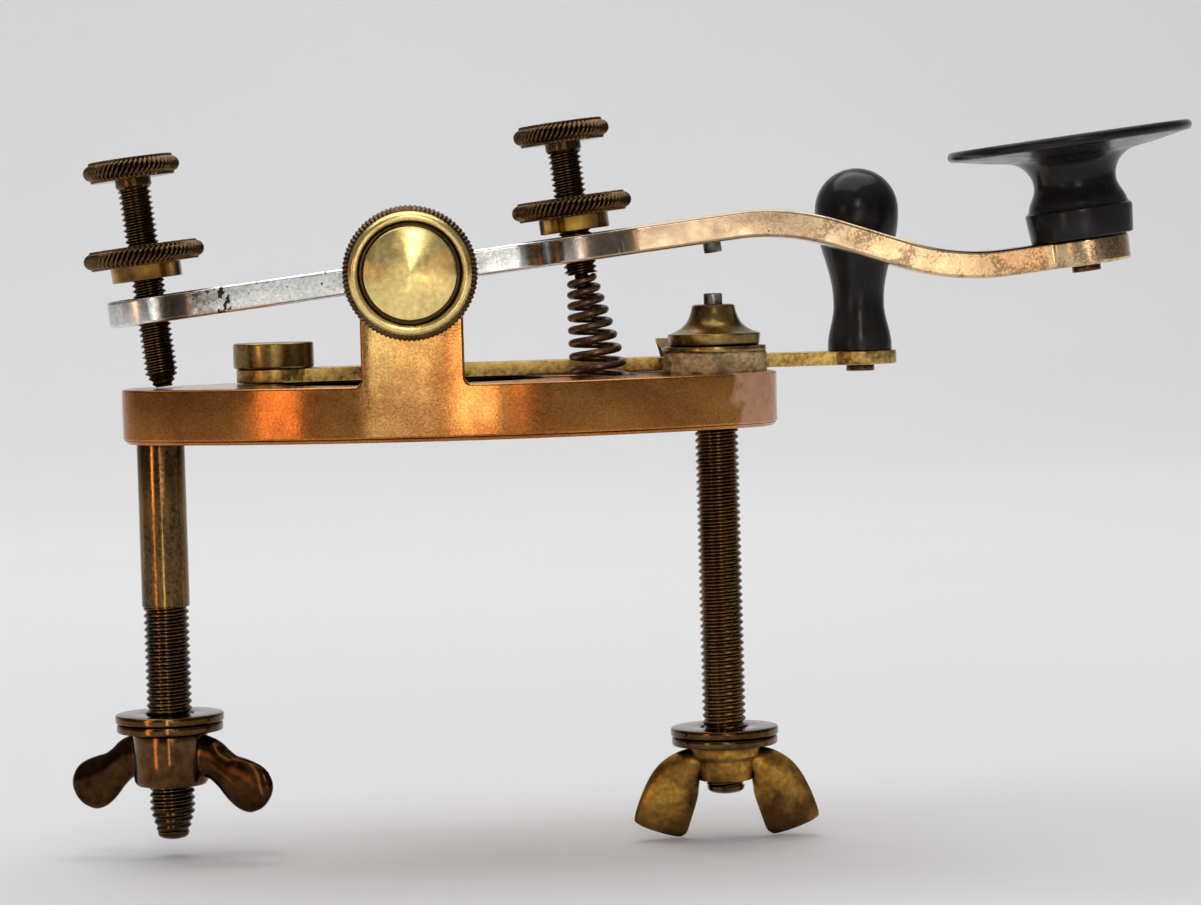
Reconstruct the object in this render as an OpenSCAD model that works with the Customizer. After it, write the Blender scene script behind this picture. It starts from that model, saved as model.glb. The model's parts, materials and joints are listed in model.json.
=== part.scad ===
// Leg-mounted telegraph key: an oval brass frame, a bent steel lever between
// trunnion screws, two thumbscrews, a conical spring, an insulated anvil and a
// circuit closer. The origin is the middle of the frame's underside, where it
// meets the table, with +X toward the finger knob and +Z up.

/* [Frame] */
// Length of the oval base
base_l = 94.6; // [90:0.2:105]
// Width of the oval base
base_w = 44.6; // [42:0.2:52]
// Height of the oval base
base_h = 7.9; // [6.5:0.1:10]
// Radius of the base's rounded ends
base_end_r = 10; // [9:0.5:14]
// Chamfer round the base's lower edge
base_chamfer = 0.5; // [0.2:0.1:1]
// Length of the window through the base
window_l = 40.8; // [34:0.2:42]
// Distance of the window's middle behind the origin
window_back = 4.9; // [3:0.1:6]
// Width of each side rail beside the window
rail_w = 7; // [6:0.1:8]
// Radius of the window's rounded ends
window_end_r = 8; // [6:0.5:10]
// Width of an upright along the base
upright_w = 14.4; // [12:0.2:16]
// Thickness of an upright
upright_t = 4.9; // [4:0.1:6]
// Fillet where an upright meets the base
upright_fillet = 1; // [0.5:0.1:2]
// Distance of the trunnion axis behind the origin
pivot_back = 5.3; // [4:0.1:6]
// Height of the trunnion axis above the table
pivot_z = 23.55; // [22:0.05:27]
// Depth of the flat round each trunnion screw
spot_depth = 0.3; // [0.2:0.05:0.6]

/* [Legs] */
// Distance from the base's rear tip to the rear leg
rear_leg_inset = 5.3; // [5:0.1:8]
// Radius of the rear leg's smooth shank
rear_shank_r = 3.45; // [3.3:0.05:4]
// Length of the smooth shank below the base
rear_shank_l = 23.7; // [15:0.1:30]
// Outer radius of the rear leg's thread
rear_thread_r = 3.3; // [3:0.05:3.3]
// Length of the rear leg below the base
rear_leg_l = 57.4; // [54:0.1:70]
// Distance from the base's front tip to the front leg
front_leg_inset = 8.9; // [8:0.1:11]
// Outer radius of the front leg's thread
front_thread_r = 3.175; // [3:0.025:3.5]
// Length of the front leg below the base
front_leg_l = 53.5; // [53:0.1:70]
// Height of the taper at a leg's end
leg_taper_h = 3.4; // [1:0.1:5]
// Radius at a leg's very end
leg_tip_r = 2.3; // [1.5:0.1:2.8]
// Radius of the clamp washers
washer_r = 7.85; // [7:0.05:9]
// Thickness of a clamp washer
washer_t = 1.25; // [0.8:0.05:2]
// Room between a clamp washer and its leg
washer_room = 0.2; // [0.1:0.05:0.5]
// Table thickness that the rear nut is set for
rear_table = 39.1; // [36:0.1:42]
// Table thickness that the front nut is set for
front_table = 43.7; // [40:0.1:44]

/* [Wing nuts] */
// Radius of the rear nut's hub
rear_hub_r = 5.4; // [4.8:0.1:6.5]
// Height of the rear nut's hub
rear_hub_h = 7.7; // [6:0.1:9]
// Reach of the rear nut's wings from the leg's axis
rear_wing_reach = 15.3; // [14:0.1:18]
// Radius of the lobe at the end of a rear wing
lobe_r = 3.6; // [3:0.1:4.2]
// Drop of a rear lobe's centre below the hub's top
lobe_drop = 8.8; // [7:0.1:10]
// Width of a rear wing's neck
neck_w = 3; // [2.4:0.1:4]
// Height of a rear wing's root on the hub
wing_root_h = 5.4; // [4:0.1:6]
// Thickness of the rear wings
rear_wing_t = 3; // [2:0.1:4]
// Turn of the rear nut about its leg
rear_turn = -23; // [-90:1:90]
// Radius at the top of the front nut's conical hub
front_hub_r = 5.1; // [4.6:0.1:6]
// Radius at the foot of the front nut's hub
front_hub_foot_r = 3.9; // [3.7:0.1:4.5]
// Height of the front nut's hub
front_hub_h = 5.1; // [4:0.1:7]
// Width of a front leaf wing
leaf_w = 7; // [5:0.1:8]
// Length of a front leaf wing
leaf_l = 12.2; // [10:0.1:14]
// Angle of a front wing below the horizontal
leaf_droop = 66; // [50:1:75]
// Distance of a front wing's root from the leg's axis
leaf_root = 5.2; // [4.6:0.1:6]
// Thickness of the front wings
front_wing_t = 3; // [2:0.1:4]

/* [Trunnion] */
// Radius of the trunnion axle
trunnion_r = 4; // [3.5:0.1:4.5]
// Length of the trunnion axle
trunnion_l = 28.4; // [24:0.2:30]
// Mouth radius of the centre in each end of the axle
centre_r = 2.2; // [1.8:0.1:2.6]
// Half angle of the centres and of the screws' points
centre_angle = 30; // [25:1:45]
// Outer radius of a trunnion screw's thread
trunnion_thread_r = 3; // [2.8:0.1:3.4]
// Radius at the very end of a trunnion screw's point
point_r = 0.4; // [0.2:0.1:0.8]
// Thickness of a trunnion lock nut
trunnion_nut_h = 3; // [2:0.1:4]
// Radius of a trunnion lock nut
trunnion_nut_r = 8.2; // [7:0.1:9]
// Free space between a trunnion lock nut and the screw's head
head_space = 0.8; // [0.5:0.1:2]
// Radius of a trunnion screw's head
trunnion_head_r = 9.4; // [8.5:0.1:11]
// Thickness of a trunnion screw's head
trunnion_head_h = 4; // [3.4:0.1:5]
// Height of the knurled bead on a trunnion screw's head
trunnion_bead = 2.8; // [2:0.1:3.2]
// Outer radius of the bevel round the head's face
trunnion_bevel_r = 8.4; // [7.8:0.1:9]
// Inner radius of that bevel
trunnion_groove_r = 7.25; // [6.9:0.05:7.6]
// Radius of the polished boss on the head's face
trunnion_boss_r = 6.4; // [5.6:0.1:6.7]
// Height of that boss above the head's face
trunnion_boss_h = 0.9; // [0.4:0.1:1.5]
// Depth of the groove round the boss
trunnion_groove_d = 0.9; // [0.4:0.1:1.4]

/* [Lever] */
// Tilt of the lever at rest, front end up
rest_tilt = 6.56; // [4.5:0.02:7]
// Turn of the lever from rest until the contacts meet
key_travel = 7.5; // [5:0.1:8]
// Thickness of the lever
lever_t = 3.9; // [3.4:0.1:4.6]
// Width of the lever's bar
lever_w = 9; // [7.5:0.1:11]
// Radius of the hub round the trunnion axle
hub_r = 6.2; // [5.6:0.1:6.8]
// Width of that hub across the lever
hub_w = 13; // [10:0.5:16]
// Distance from the trunnion axis to the stop screw
stop_x = 37.5; // [36:0.1:38.5]
// Radius of the stop screw's eye
stop_eye_r = 6.3; // [5.5:0.1:8]
// Distance from the trunnion axis to the spring screw
spring_x = 24.45; // [23:0.05:26]
// Radius of the spring screw's eye
spring_eye_r = 7.5; // [6:0.1:8.5]
// Distance from the trunnion axis to the start of the bend
bend_x = 47.3; // [46.5:0.1:50]
// Radius of each bend along its centre line
bend_r = 34; // [26:0.5:36]
// Slope of the lever between its two bends
bend_angle = 25; // [20:1:32]
// Drop from the straight part to the knob pad
bend_drop = 10.85; // [10:0.05:16]
// Distance from the trunnion axis to the knob
knob_x = 97.4; // [96:0.1:101]
// Radius of the knob pad
pad_r = 6.6; // [6:0.1:8]

/* [Contacts] */
// Distance from the trunnion axis to the upper contact
contact_x = 43.8; // [43:0.1:45]
// Radius of the upper contact
upper_contact_r = 1.3; // [1:0.05:1.8]
// Height of the upper contact below the lever
upper_contact_h = 1.45; // [1:0.05:2]
// Radius of the lower contact
lower_contact_r = 1.35; // [1:0.05:1.8]
// Depth of the lower contact's shank in the anvil
lower_contact_depth = 3; // [2:0.1:4]

/* [Anvil] */
// Outer radius of the insulating bush in the base
bush_r = 5; // [4.4:0.1:6]
// Radius of the insulating washer
insulator_r = 7.2; // [6.6:0.1:7.2]
// Thickness of the insulating washer
insulator_t = 3; // [2.8:0.1:4]
// Radius of the contact plate
plate_r = 7.5; // [6.8:0.1:8]
// Thickness of the contact plate and its tongue
plate_t = 0.8; // [0.6:0.05:1]
// Length of the tongue from the leg's axis
tongue_l = 10.2; // [9.8:0.1:11]
// Width of the tongue
tongue_w = 6; // [5:0.1:9]
// Direction of the tongue
tongue_angle = 118; // [115:1:130]
// Height of the tongue's turned-up lip
lip_h = 2.8; // [1:0.1:3.2]
// Radius of the anvil's flange
anvil_r = 6.75; // [6:0.05:7.2]
// Thickness of the anvil's flange
anvil_flange_h = 1.8; // [1.2:0.1:2.4]
// Height of the anvil
anvil_h = 6; // [5.4:0.1:6.8]
// Radius of the anvil's top
anvil_top_r = 3.05; // [2.6:0.05:3.6]
// Length of the front leg's thread inside the anvil
anvil_thread_l = 2.4; // [1.5:0.1:2.6]

/* [Thumbscrews] */
// Outer radius of a thumbscrew's thread
screw_r = 2.4; // [2:0.05:2.6]
// Radius of a thumbscrew's head
head_r = 6.95; // [6:0.05:8]
// Thickness of a thumbscrew's head
head_h = 3; // [2.6:0.1:4]
// Height of the knurled bead on a thumbscrew's head
head_bead = 2.25; // [1.8:0.05:2.5]
// Radius of a head's shoulders
head_shoulder_r = 6.05; // [5:0.05:6.1]
// Radius of the plain collar under a head
collar_r = 2.6; // [2.6:0.02:3]
// Height of the plain collar under a head
collar_h = 1.4; // [0.8:0.1:2]
// Radius of a lock nut's hub
nut_hub_r = 5.05; // [4.4:0.05:6]
// Height of a lock nut's hub
nut_hub_h = 2.15; // [1.5:0.05:3]
// Radius of a lock nut's flange
nut_r = 8.7; // [7.6:0.05:10]
// Thickness of a lock nut's flange
nut_flange_h = 2.8; // [2.5:0.1:3.5]
// Height of the knurled bead on a lock nut
nut_bead = 2.3; // [1.8:0.05:2.4]
// Radius of a lock nut's shoulders
nut_shoulder_r = 7.8; // [6.6:0.05:7.8]
// Height of the stop screw's lock nut above the lever
stop_nut_lift = 2.4; // [0.5:0.1:4]
// Height of the stop screw's head above the lever
stop_head_lift = 17; // [14:0.1:20]
// Height of the taper at the stop screw's tip
stop_taper_h = 2; // [1:0.1:3]
// Radius of the stop screw's tip
stop_tip_r = 1.3; // [0.8:0.1:1.8]
// Height of the spring screw's lock nut above the lever
spring_nut_lift = 0.6; // [0.5:0.1:3]
// Height of the spring screw's head above the lever
spring_head_lift = 13.4; // [11:0.05:18]
// Reach of the spring screw below the lever
spring_screw_reach = 1.8; // [1:0.1:3]
// Radius of the pilot that centres the spring
pilot_r = 1; // [0.6:0.05:1.2]
// Length of that pilot
pilot_l = 2.2; // [1:0.1:3]

/* [Spring] */
// Diameter of the spring's wire
wire_d = 0.95; // [0.7:0.05:1.05]
// Outer diameter of the spring at its top
spring_top_d = 4.4; // [4.3:0.1:5]
// Outer diameter of the spring at its foot
spring_foot_d = 9.2; // [7:0.1:9.4]
// Number of turns
spring_turns = 8.5; // [6:0.5:9]
// Rise of the topmost turn
spring_top_pitch = 1.45; // [1.4:0.01:1.6]
// Distance of the spring's foot in front of its screw's axis
spring_foot_shift = 0.7; // [0:0.1:1]
// Radius of the lowered seat under the spring
seat_r = 5.6; // [5.3:0.1:6.4]
// Depth of that seat below the base's top
seat_depth = 1.9; // [1:0.1:2.5]

/* [Circuit closer] */
// Distance of the closer's pivot behind the origin
closer_back = 25.7; // [25:0.1:27]
// Distance of the closer's pivot beyond the base's middle line
closer_side = 10; // [9.5:0.1:10.5]
// Length of the closer from its pivot to its knob
closer_l = 87.1; // [85:0.1:91]
// Angle of the closer to the base's length as it stands open
closer_angle = 3.33; // [3.2:0.01:3.6]
// Width of the closer's strip
strip_w = 7; // [6:0.1:7]
// Thickness of the closer's strip
strip_t = 2; // [1.6:0.1:2.4]
// Radius of the strip's rear end
strip_eye_r = 5.5; // [4.5:0.1:6.5]
// Radius of the strip's front end
strip_pad_r = 5.4; // [5:0.1:6.5]
// Radius of the pivot screw's head
pivot_head_r = 5.9; // [5:0.1:6.5]
// Height of the pivot screw's head
pivot_head_h = 3.7; // [2.5:0.1:4.5]
// Radius of the pivot screw's shank
pivot_shank_r = 2.4; // [2:0.1:3]
// Depth of the pivot screw in the base
pivot_depth = 6; // [4:0.1:6.4]
// Width of a screwdriver slot
slot_w = 1; // [0.6:0.1:1.4]
// Depth of a screwdriver slot
slot_d = 1.2; // [0.6:0.1:2]

/* [Knobs] */
// Radius of the finger knob's rim
knob_r = 17.8; // [16:0.1:20]
// Height of the finger knob
knob_h = 14.9; // [13:0.1:18]
// Radius at the top of the finger knob's foot
knob_foot_r = 7.8; // [6.8:0.1:9]
// Height of the finger knob's foot
knob_foot_h = 4.4; // [3.5:0.1:5.5]
// Radius of the finger knob's waist
knob_waist_r = 6; // [5:0.1:6.4]
// Thickness of the finger knob's rim
knob_rim_t = 1.5; // [1:0.1:2.5]
// Depth of the dish in the finger knob's top
knob_dish = 0.6; // [0.2:0.1:0.8]
// Height of the closer's pear-shaped knob
pear_h = 27.1; // [25:0.1:31]
// Largest radius of that knob
pear_r = 6.2; // [5.6:0.1:6.8]
// Radius of that knob's neck
pear_neck_r = 3.77; // [3.4:0.02:4.2]
// Height of that knob's neck
pear_neck_h = 6.5; // [5.5:0.1:8]
// Radius of that knob's foot
pear_foot_r = 4.75; // [4.4:0.05:5.4]
// Radius of a knob screw's shank
knob_screw_r = 1.4; // [1:0.05:1.6]
// Radius of a knob screw's head
knob_screw_head_r = 2.1; // [1.8:0.05:3]
// Height of a knob screw's head
knob_screw_head_h = 1; // [0.6:0.1:1.4]
// Depth of a knob screw in its knob
knob_screw_depth = 7; // [5:0.1:9]

/* [Clearances] */
// Radial room of a pin or a fixed shank in its hole
fit = 0.03; // [0.02:0.01:0.05]
// Radial room of a screw in a thread that it turns in
thread_fit = 0.06; // [0.04:0.01:0.1]
// Room between flat faces that slide or lift off each other
seat_gap = 0.1; // [0.06:0.01:0.15]

/* [Hidden] */
$fn = 96;

// Colours of the materials
brass = "#b07a3c";
dark_brass = "#6b5230";
gold_brass = "#c79a45";
steel = "#c4c0b6";
rubber = "#1c1b1b";
fibre = "#8d8577";
wire_colour = "#5a4632";
silver = "#77736c";

// Cut through a face, so that no skin is left
over = 1;

// Share of a lobe's radius where the edges of its wing end
lobe_share = 0.8;

// Frame places
rear_leg_x = rear_leg_inset - base_l / 2;
front_leg_x = base_l / 2 - front_leg_inset;
pivot_x = -pivot_back;
upright_outer = base_w / 2 - spot_depth;
upright_inner = base_w / 2 - upright_t;
upright_top_r = upright_w / 2;

// Lever places, in the lever's own frame with its origin on the trunnion axis
lever_top = lever_t / 2;
lever_bottom = -lever_t / 2;
pad_top = lever_top - bend_drop;
pad_bottom = lever_bottom - bend_drop;
bend_straight = (bend_drop - 2 * bend_r * (1 - cos(bend_angle))) / sin(bend_angle);
bend_run = 2 * bend_r * sin(bend_angle) + bend_straight * cos(bend_angle);
press_tilt = rest_tilt - key_travel;
stop_tip_z = (base_h + seat_gap + stop_tip_r * sin(rest_tilt) - pivot_z + stop_x * sin(rest_tilt))
    / cos(rest_tilt);
spring_shoulder_z = lever_bottom - spring_screw_reach;

// Anvil stack, from the base's top upward
plate_z = base_h + insulator_t;
anvil_z = plate_z + plate_t;
anvil_top_z = anvil_z + anvil_h;
contact_top_z = pivot_z + contact_x * sin(press_tilt)
    + (lever_bottom - upper_contact_h) * cos(press_tilt)
    - upper_contact_r * abs(sin(press_tilt)) - seat_gap;

// Closer places
strip_z = base_h + seat_gap;
strip_top_z = strip_z + strip_t;
tongue_z = strip_top_z + seat_gap;

// Spring places: the foot is level on its seat and the top square to its screw
spring_top_at = lever_point([spring_x, 0, spring_shoulder_z - seat_gap - wire_d / 2]);
spring_foot_z = base_h - seat_depth + seat_gap + wire_d / 2;
spring_foot_x = spring_top_at.x + (spring_top_at.z - spring_foot_z) * tan(rest_tilt) + spring_foot_shift;
spring_rise = spring_top_at.z - spring_foot_z;
spring_foot_pitch = 2 * spring_rise / spring_turns - spring_top_pitch;
curl_rings = 8;
wire_sides = 6;
ring_count = floor(spring_turns * curl_rings);

// A point of the lever's frame, in the key's frame, with the lever at rest
function lever_point(p) = [
    pivot_x + p.x * cos(rest_tilt) - p.z * sin(rest_tilt),
    p.y,
    pivot_z + p.x * sin(rest_tilt) + p.z * cos(rest_tilt)
];

// Points along an arc, from angle a0 to angle a1
function arc(centre, r, a0, a1, steps = 16) = [
    for (i = [0 : steps]) centre + r * [cos(a0 + (a1 - a0) * i / steps), sin(a0 + (a1 - a0) * i / steps)]
];

// An S-shaped run from one point to another, level at both ends when upright is false
function ease(from, to, upright = false, steps = 12) = [
    for (i = [0 : steps])
        let (t = i / steps, s = (1 - cos(180 * t)) / 2)
        upright
            ? [from.x + (to.x - from.x) * s, from.y + (to.y - from.y) * t]
            : [from.x + (to.x - from.x) * t, from.y + (to.y - from.y) * s]
];

// A run from one point to another that rises first and then levels off
function bulge(from, to, steps = 12) = [
    for (i = [0 : steps])
        let (t = i / steps)
        [from.x + (to.x - from.x) * t, from.y + (to.y - from.y) * sin(90 * t)]
];

// Places children in the lever's frame, with the lever at rest
module on_lever() {
    translate([pivot_x, 0, pivot_z])
        rotate([0, -rest_tilt, 0])
            children();
}

// Places children on the trunnion axis with their Z outward: side is -1 near and 1 far
module on_trunnion(side) {
    translate([pivot_x, 0, pivot_z])
        rotate([-90 * side, 0, 0])
            children();
}

// Places children in the closer's frame, with the closer open
module on_closer() {
    translate([-closer_back, closer_side, 0])
        rotate([0, 0, closer_angle])
            children();
}

// Four-centre oval: two end arcs, tangent to two side arcs
module oval(half_l, half_w, end_r) {
    side_r = (half_w ^ 2 + half_l ^ 2 - 2 * half_l * end_r) / (2 * (half_w - end_r));
    end_x = half_l - end_r;
    join_x = end_x * side_r / (side_r - end_r);
    intersection() {
        translate([0, half_w - side_r])
            circle(side_r);
        translate([0, side_r - half_w])
            circle(side_r);
        square([2 * join_x, 2 * half_w], center = true);
    }
    for (side = [-1, 1])
        translate([side * end_x, 0])
            circle(end_r);
}

// Disc with a rounded, knurled bead round its rim
module beaded_disc(r, h, bead, shoulder_r) {
    rotate_extrude() {
        square([shoulder_r, h]);
        translate([r - bead / 2, h / 2])
            circle(d = bead);
        translate([0, (h - bead) / 2])
            square([r - bead / 2, bead]);
    }
}

// Lock nut with a plain hub below its knurled flange
module lock_nut() {
    difference() {
        union() {
            cylinder(r = nut_hub_r, h = nut_hub_h + over / 2);
            translate([0, 0, nut_hub_h])
                beaded_disc(nut_r, nut_flange_h, nut_bead, nut_shoulder_r);
        }
        translate([0, 0, -over])
            cylinder(r = screw_r + thread_fit, h = nut_hub_h + nut_flange_h + 2 * over);
    }
}

// Thumbscrew from its thread's lower end to its head, measured from the lever's top face
module thumbscrew(thread_bottom, head_lift) {
    translate([0, 0, thread_bottom])
        cylinder(r = screw_r, h = head_lift - collar_h - thread_bottom);
    translate([0, 0, head_lift - collar_h])
        cylinder(r = collar_r, h = collar_h);
    translate([0, 0, head_lift])
        beaded_disc(head_r, head_h, head_bead, head_shoulder_r);
}

// Two washers on a leg, the upper one's top face at the table's underside
module leg_washers(leg_r, table) {
    for (i = [0, 1])
        translate([0, 0, -table - washer_t - i * (washer_t + seat_gap)])
            difference() {
                cylinder(r = washer_r, h = washer_t);
                translate([0, 0, -over])
                    cylinder(r = leg_r + washer_room, h = washer_t + 2 * over);
            }
}

// Height of a wing nut's top face below the base
function nut_top(table) = -table - 2 * washer_t - 2 * seat_gap;

// Screw that holds a knob from below, its head's top face at zero
module knob_screw_shape(plate) {
    difference() {
        translate([0, 0, -knob_screw_head_h])
            cylinder(r = knob_screw_head_r, h = knob_screw_head_h);
        translate([-knob_screw_head_r, -slot_w / 4, -knob_screw_head_h - over])
            cube([2 * knob_screw_head_r, slot_w / 2, over + knob_screw_head_h / 2]);
    }
    cylinder(r = knob_screw_r, h = plate + knob_screw_depth);
}

// Upright seen from the side, in X and Z, with fillets at its foot
module upright_outline() {
    foot = upright_w / 2 + upright_fillet;
    translate([pivot_x, 0])
        difference() {
            union() {
                translate([-upright_w / 2, 0])
                    square([upright_w, pivot_z]);
                translate([0, pivot_z])
                    circle(upright_top_r);
                translate([-foot, 0])
                    square([2 * foot, base_h + upright_fillet]);
            }
            for (side = [-1, 1])
                translate([side * foot, base_h + upright_fillet])
                    circle(upright_fillet);
        }
}

// Cast oval ring with its uprights, bores and a lowered seat, open to the window, for the spring
module base_frame() {
    window_w = base_w - 2 * rail_w;
    color(brass)
        difference() {
            union() {
                translate([0, 0, base_chamfer])
                    linear_extrude(base_h - base_chamfer)
                        oval(base_l / 2, base_w / 2, base_end_r);
                linear_extrude(base_chamfer)
                    oval(base_l / 2 - base_chamfer, base_w / 2 - base_chamfer, base_end_r - base_chamfer);
                intersection() {
                    translate([0, 0, base_h / 2])
                        linear_extrude(pivot_z + upright_top_r)
                            oval(base_l / 2, base_w / 2, base_end_r);
                    for (side = [-1, 1])
                        translate([0, side * (upright_inner + upright_t), 0])
                            rotate([90, 0, 0])
                                linear_extrude(2 * upright_t, center = true)
                                    upright_outline();
                }
            }
            translate([-window_back, 0, -over])
                linear_extrude(base_h + 2 * over)
                    oval(window_l / 2, window_w / 2, window_end_r);
            for (side = [-1, 1])
                on_trunnion(side) {
                    translate([0, 0, upright_inner - over])
                        cylinder(r = trunnion_thread_r + thread_fit, h = upright_t + 2 * over);
                    translate([0, 0, upright_outer])
                        cylinder(r = trunnion_nut_r + seat_gap, h = 2 * over);
                }
            translate([rear_leg_x, 0, -over])
                cylinder(r = rear_shank_r + fit, h = base_h + 2 * over);
            translate([front_leg_x, 0, -over])
                cylinder(r = bush_r + fit, h = base_h + 2 * over);
            translate([-closer_back, closer_side, base_h - pivot_depth])
                cylinder(r = pivot_shank_r + fit, h = pivot_depth + over);
            translate([0, 0, base_h - seat_depth])
                linear_extrude(seat_depth + over) {
                    translate([spring_foot_x, 0])
                        circle(seat_r);
                    translate([0, -seat_r])
                        square([spring_foot_x, 2 * seat_r]);
                }
        }
}

// Rear leg: a smooth shank flush with the base's top, then a thread with a tapered end
module rear_leg() {
    color(dark_brass)
        translate([rear_leg_x, 0, 0]) {
            translate([0, 0, -rear_shank_l])
                cylinder(r = rear_shank_r, h = rear_shank_l + base_h);
            translate([0, 0, leg_taper_h - rear_leg_l])
                cylinder(r = rear_thread_r, h = rear_leg_l - leg_taper_h - rear_shank_l);
            translate([0, 0, -rear_leg_l])
                cylinder(r1 = leg_tip_r, r2 = rear_thread_r, h = leg_taper_h);
        }
}

// Front leg: threaded from its end up into the anvil
module front_leg() {
    color(dark_brass)
        translate([front_leg_x, 0, 0]) {
            translate([0, 0, leg_taper_h - front_leg_l])
                cylinder(r = front_thread_r, h = front_leg_l - leg_taper_h + anvil_z + anvil_thread_l);
            translate([0, 0, -front_leg_l])
                cylinder(r1 = leg_tip_r, r2 = front_thread_r, h = leg_taper_h);
        }
}

// Fibre bush between the front leg and the base
module insulating_bush() {
    color(fibre)
        translate([front_leg_x, 0, 0])
            difference() {
                cylinder(r = bush_r, h = base_h);
                translate([0, 0, -over])
                    cylinder(r = front_thread_r + fit, h = base_h + 2 * over);
            }
}

// Fibre washer between the base and the contact plate
module insulating_washer() {
    color(fibre)
        translate([front_leg_x, 0, base_h])
            difference() {
                cylinder(r = insulator_r, h = insulator_t);
                translate([0, 0, -over])
                    cylinder(r = front_thread_r + fit, h = insulator_t + 2 * over);
            }
}

// Contact plate: a ring, and a tongue that dips to the closer and ends in a turned-up lip
module contact_plate() {
    dip = plate_z - tongue_z;
    dip_start = plate_r;
    dip_end = dip_start + dip;
    color(gold_brass)
        translate([front_leg_x, 0, plate_z])
            difference() {
                union() {
                    cylinder(r = plate_r, h = plate_t);
                    rotate([0, 0, tongue_angle])
                        translate([0, tongue_w / 2, 0])
                            rotate([90, 0, 0])
                                linear_extrude(tongue_w)
                                    polygon([
                                        [0, 0], [dip_start, 0], [dip_end, -dip],
                                        [tongue_l, -dip], [tongue_l + lip_h / 2, lip_h - dip],
                                        [tongue_l - plate_t, plate_t - dip],
                                        [dip_end + plate_t / 2, plate_t - dip],
                                        [dip_start + plate_t / 2, plate_t], [0, plate_t]
                                    ]);
                }
                translate([0, 0, -over])
                    cylinder(r = front_thread_r + fit, h = plate_t + 2 * over);
            }
}

// Bell-shaped anvil, screwed on the front leg
module anvil() {
    undercut = anvil_flange_h / 4;
    color(gold_brass)
        translate([front_leg_x, 0, anvil_z])
            difference() {
                rotate_extrude()
                    polygon(concat(
                        [[0, 0], [anvil_r - undercut, 0], [anvil_r, undercut]],
                        [[anvil_r, anvil_flange_h]],
                        arc(
                            [anvil_r, anvil_h], anvil_h - anvil_flange_h, 270,
                            180 + asin(undercut / (anvil_h - anvil_flange_h))
                        ),
                        [[anvil_top_r, anvil_h - undercut], [anvil_top_r, anvil_h], [0, anvil_h]]
                    ));
                translate([0, 0, -over])
                    cylinder(r = front_thread_r + fit, h = anvil_thread_l + fit + over);
                translate([0, 0, anvil_h - lower_contact_depth - fit])
                    cylinder(r = lower_contact_r + fit, h = lower_contact_depth + over);
            }
}

// Contact rivet standing in the anvil, as high as the pressed lever reaches
module lower_contact() {
    foot = anvil_top_z - lower_contact_depth;
    color(silver)
        translate([front_leg_x, 0, foot])
            cylinder(r = lower_contact_r, h = contact_top_z - foot);
}

// Slotted screw that the circuit closer turns on
module closer_pivot_screw() {
    head_z = strip_top_z + seat_gap;
    color(gold_brass)
        translate([-closer_back, closer_side, 0]) {
            translate([0, 0, base_h - pivot_depth])
                cylinder(r = pivot_shank_r, h = head_z - base_h + pivot_depth);
            difference() {
                translate([0, 0, head_z])
                    cylinder(r = pivot_head_r, h = pivot_head_h);
                translate([-pivot_head_r - over, -slot_w / 2, head_z + pivot_head_h - slot_d])
                    cube([2 * (pivot_head_r + over), slot_w, slot_d + over]);
            }
        }
}

// Clamp washers on the rear leg
module rear_washers() {
    color(dark_brass)
        translate([rear_leg_x, 0, 0])
            leg_washers(rear_thread_r, rear_table);
}

// Wing nut whose wings end in round lobes
module rear_wing_nut() {
    lobe_x = rear_wing_reach - lobe_r;
    join = lobe_share * lobe_r;
    color(dark_brass)
        translate([rear_leg_x, 0, nut_top(rear_table)])
            rotate([0, 0, rear_turn])
                difference() {
                    union() {
                        translate([0, 0, -rear_hub_h])
                            cylinder(r = rear_hub_r, h = rear_hub_h);
                        for (side = [0, 180])
                            rotate([90, 0, side])
                                linear_extrude(rear_wing_t, center = true) {
                                    translate([lobe_x, -lobe_drop])
                                        circle(lobe_r);
                                    polygon([
                                        [rear_hub_r - neck_w, -neck_w / 2],
                                        [rear_hub_r + neck_w / 3, -neck_w / 2],
                                        [lobe_x + lobe_r / 2, join - lobe_drop],
                                        [lobe_x - join, -lobe_drop - lobe_r / 2],
                                        [rear_hub_r, -wing_root_h],
                                        [rear_hub_r - neck_w, -wing_root_h]
                                    ]);
                                }
                    }
                    translate([0, 0, -rear_hub_h - over])
                        cylinder(r = rear_thread_r + thread_fit, h = rear_hub_h + 2 * over);
                }
}

// Clamp washers on the front leg
module front_washers() {
    color(dark_brass)
        translate([front_leg_x, 0, 0])
            leg_washers(front_thread_r, front_table);
}

// Wing nut with a conical hub and two broad drooping leaves, cut level with the hub's top
module front_wing_nut() {
    tip_r = leaf_w / 3;
    tip_x = leaf_l - tip_r;
    root = [-front_wing_t / 2, leaf_w / 5];
    color(gold_brass)
        translate([front_leg_x, 0, nut_top(front_table)])
            difference() {
                union() {
                    translate([0, 0, -front_hub_h])
                        cylinder(r1 = front_hub_foot_r, r2 = front_hub_r, h = front_hub_h);
                    for (side = [0, 180])
                        rotate([90, 0, side])
                            linear_extrude(front_wing_t, center = true)
                                translate([leaf_root, -front_wing_t / 2])
                                    rotate(-leaf_droop)
                                        polygon(concat(
                                            [[root.x, -root.y]],
                                            bulge(root, [tip_x, leaf_w / 2]),
                                            arc([tip_x, leaf_w / 2 - tip_r], tip_r, 90, 0),
                                            arc([tip_x, tip_r - leaf_w / 2], tip_r, 0, -90)
                                        ));
                }
                translate([0, 0, -front_hub_h - over])
                    cylinder(r = front_thread_r + thread_fit, h = front_hub_h + 2 * over);
                translate([0, 0, -front_hub_h - 2 * leaf_l])
                    cylinder(r = front_hub_foot_r, h = 2 * leaf_l);
                cylinder(r = leaf_root + leaf_l, h = leaf_w);
            }
}

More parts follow.
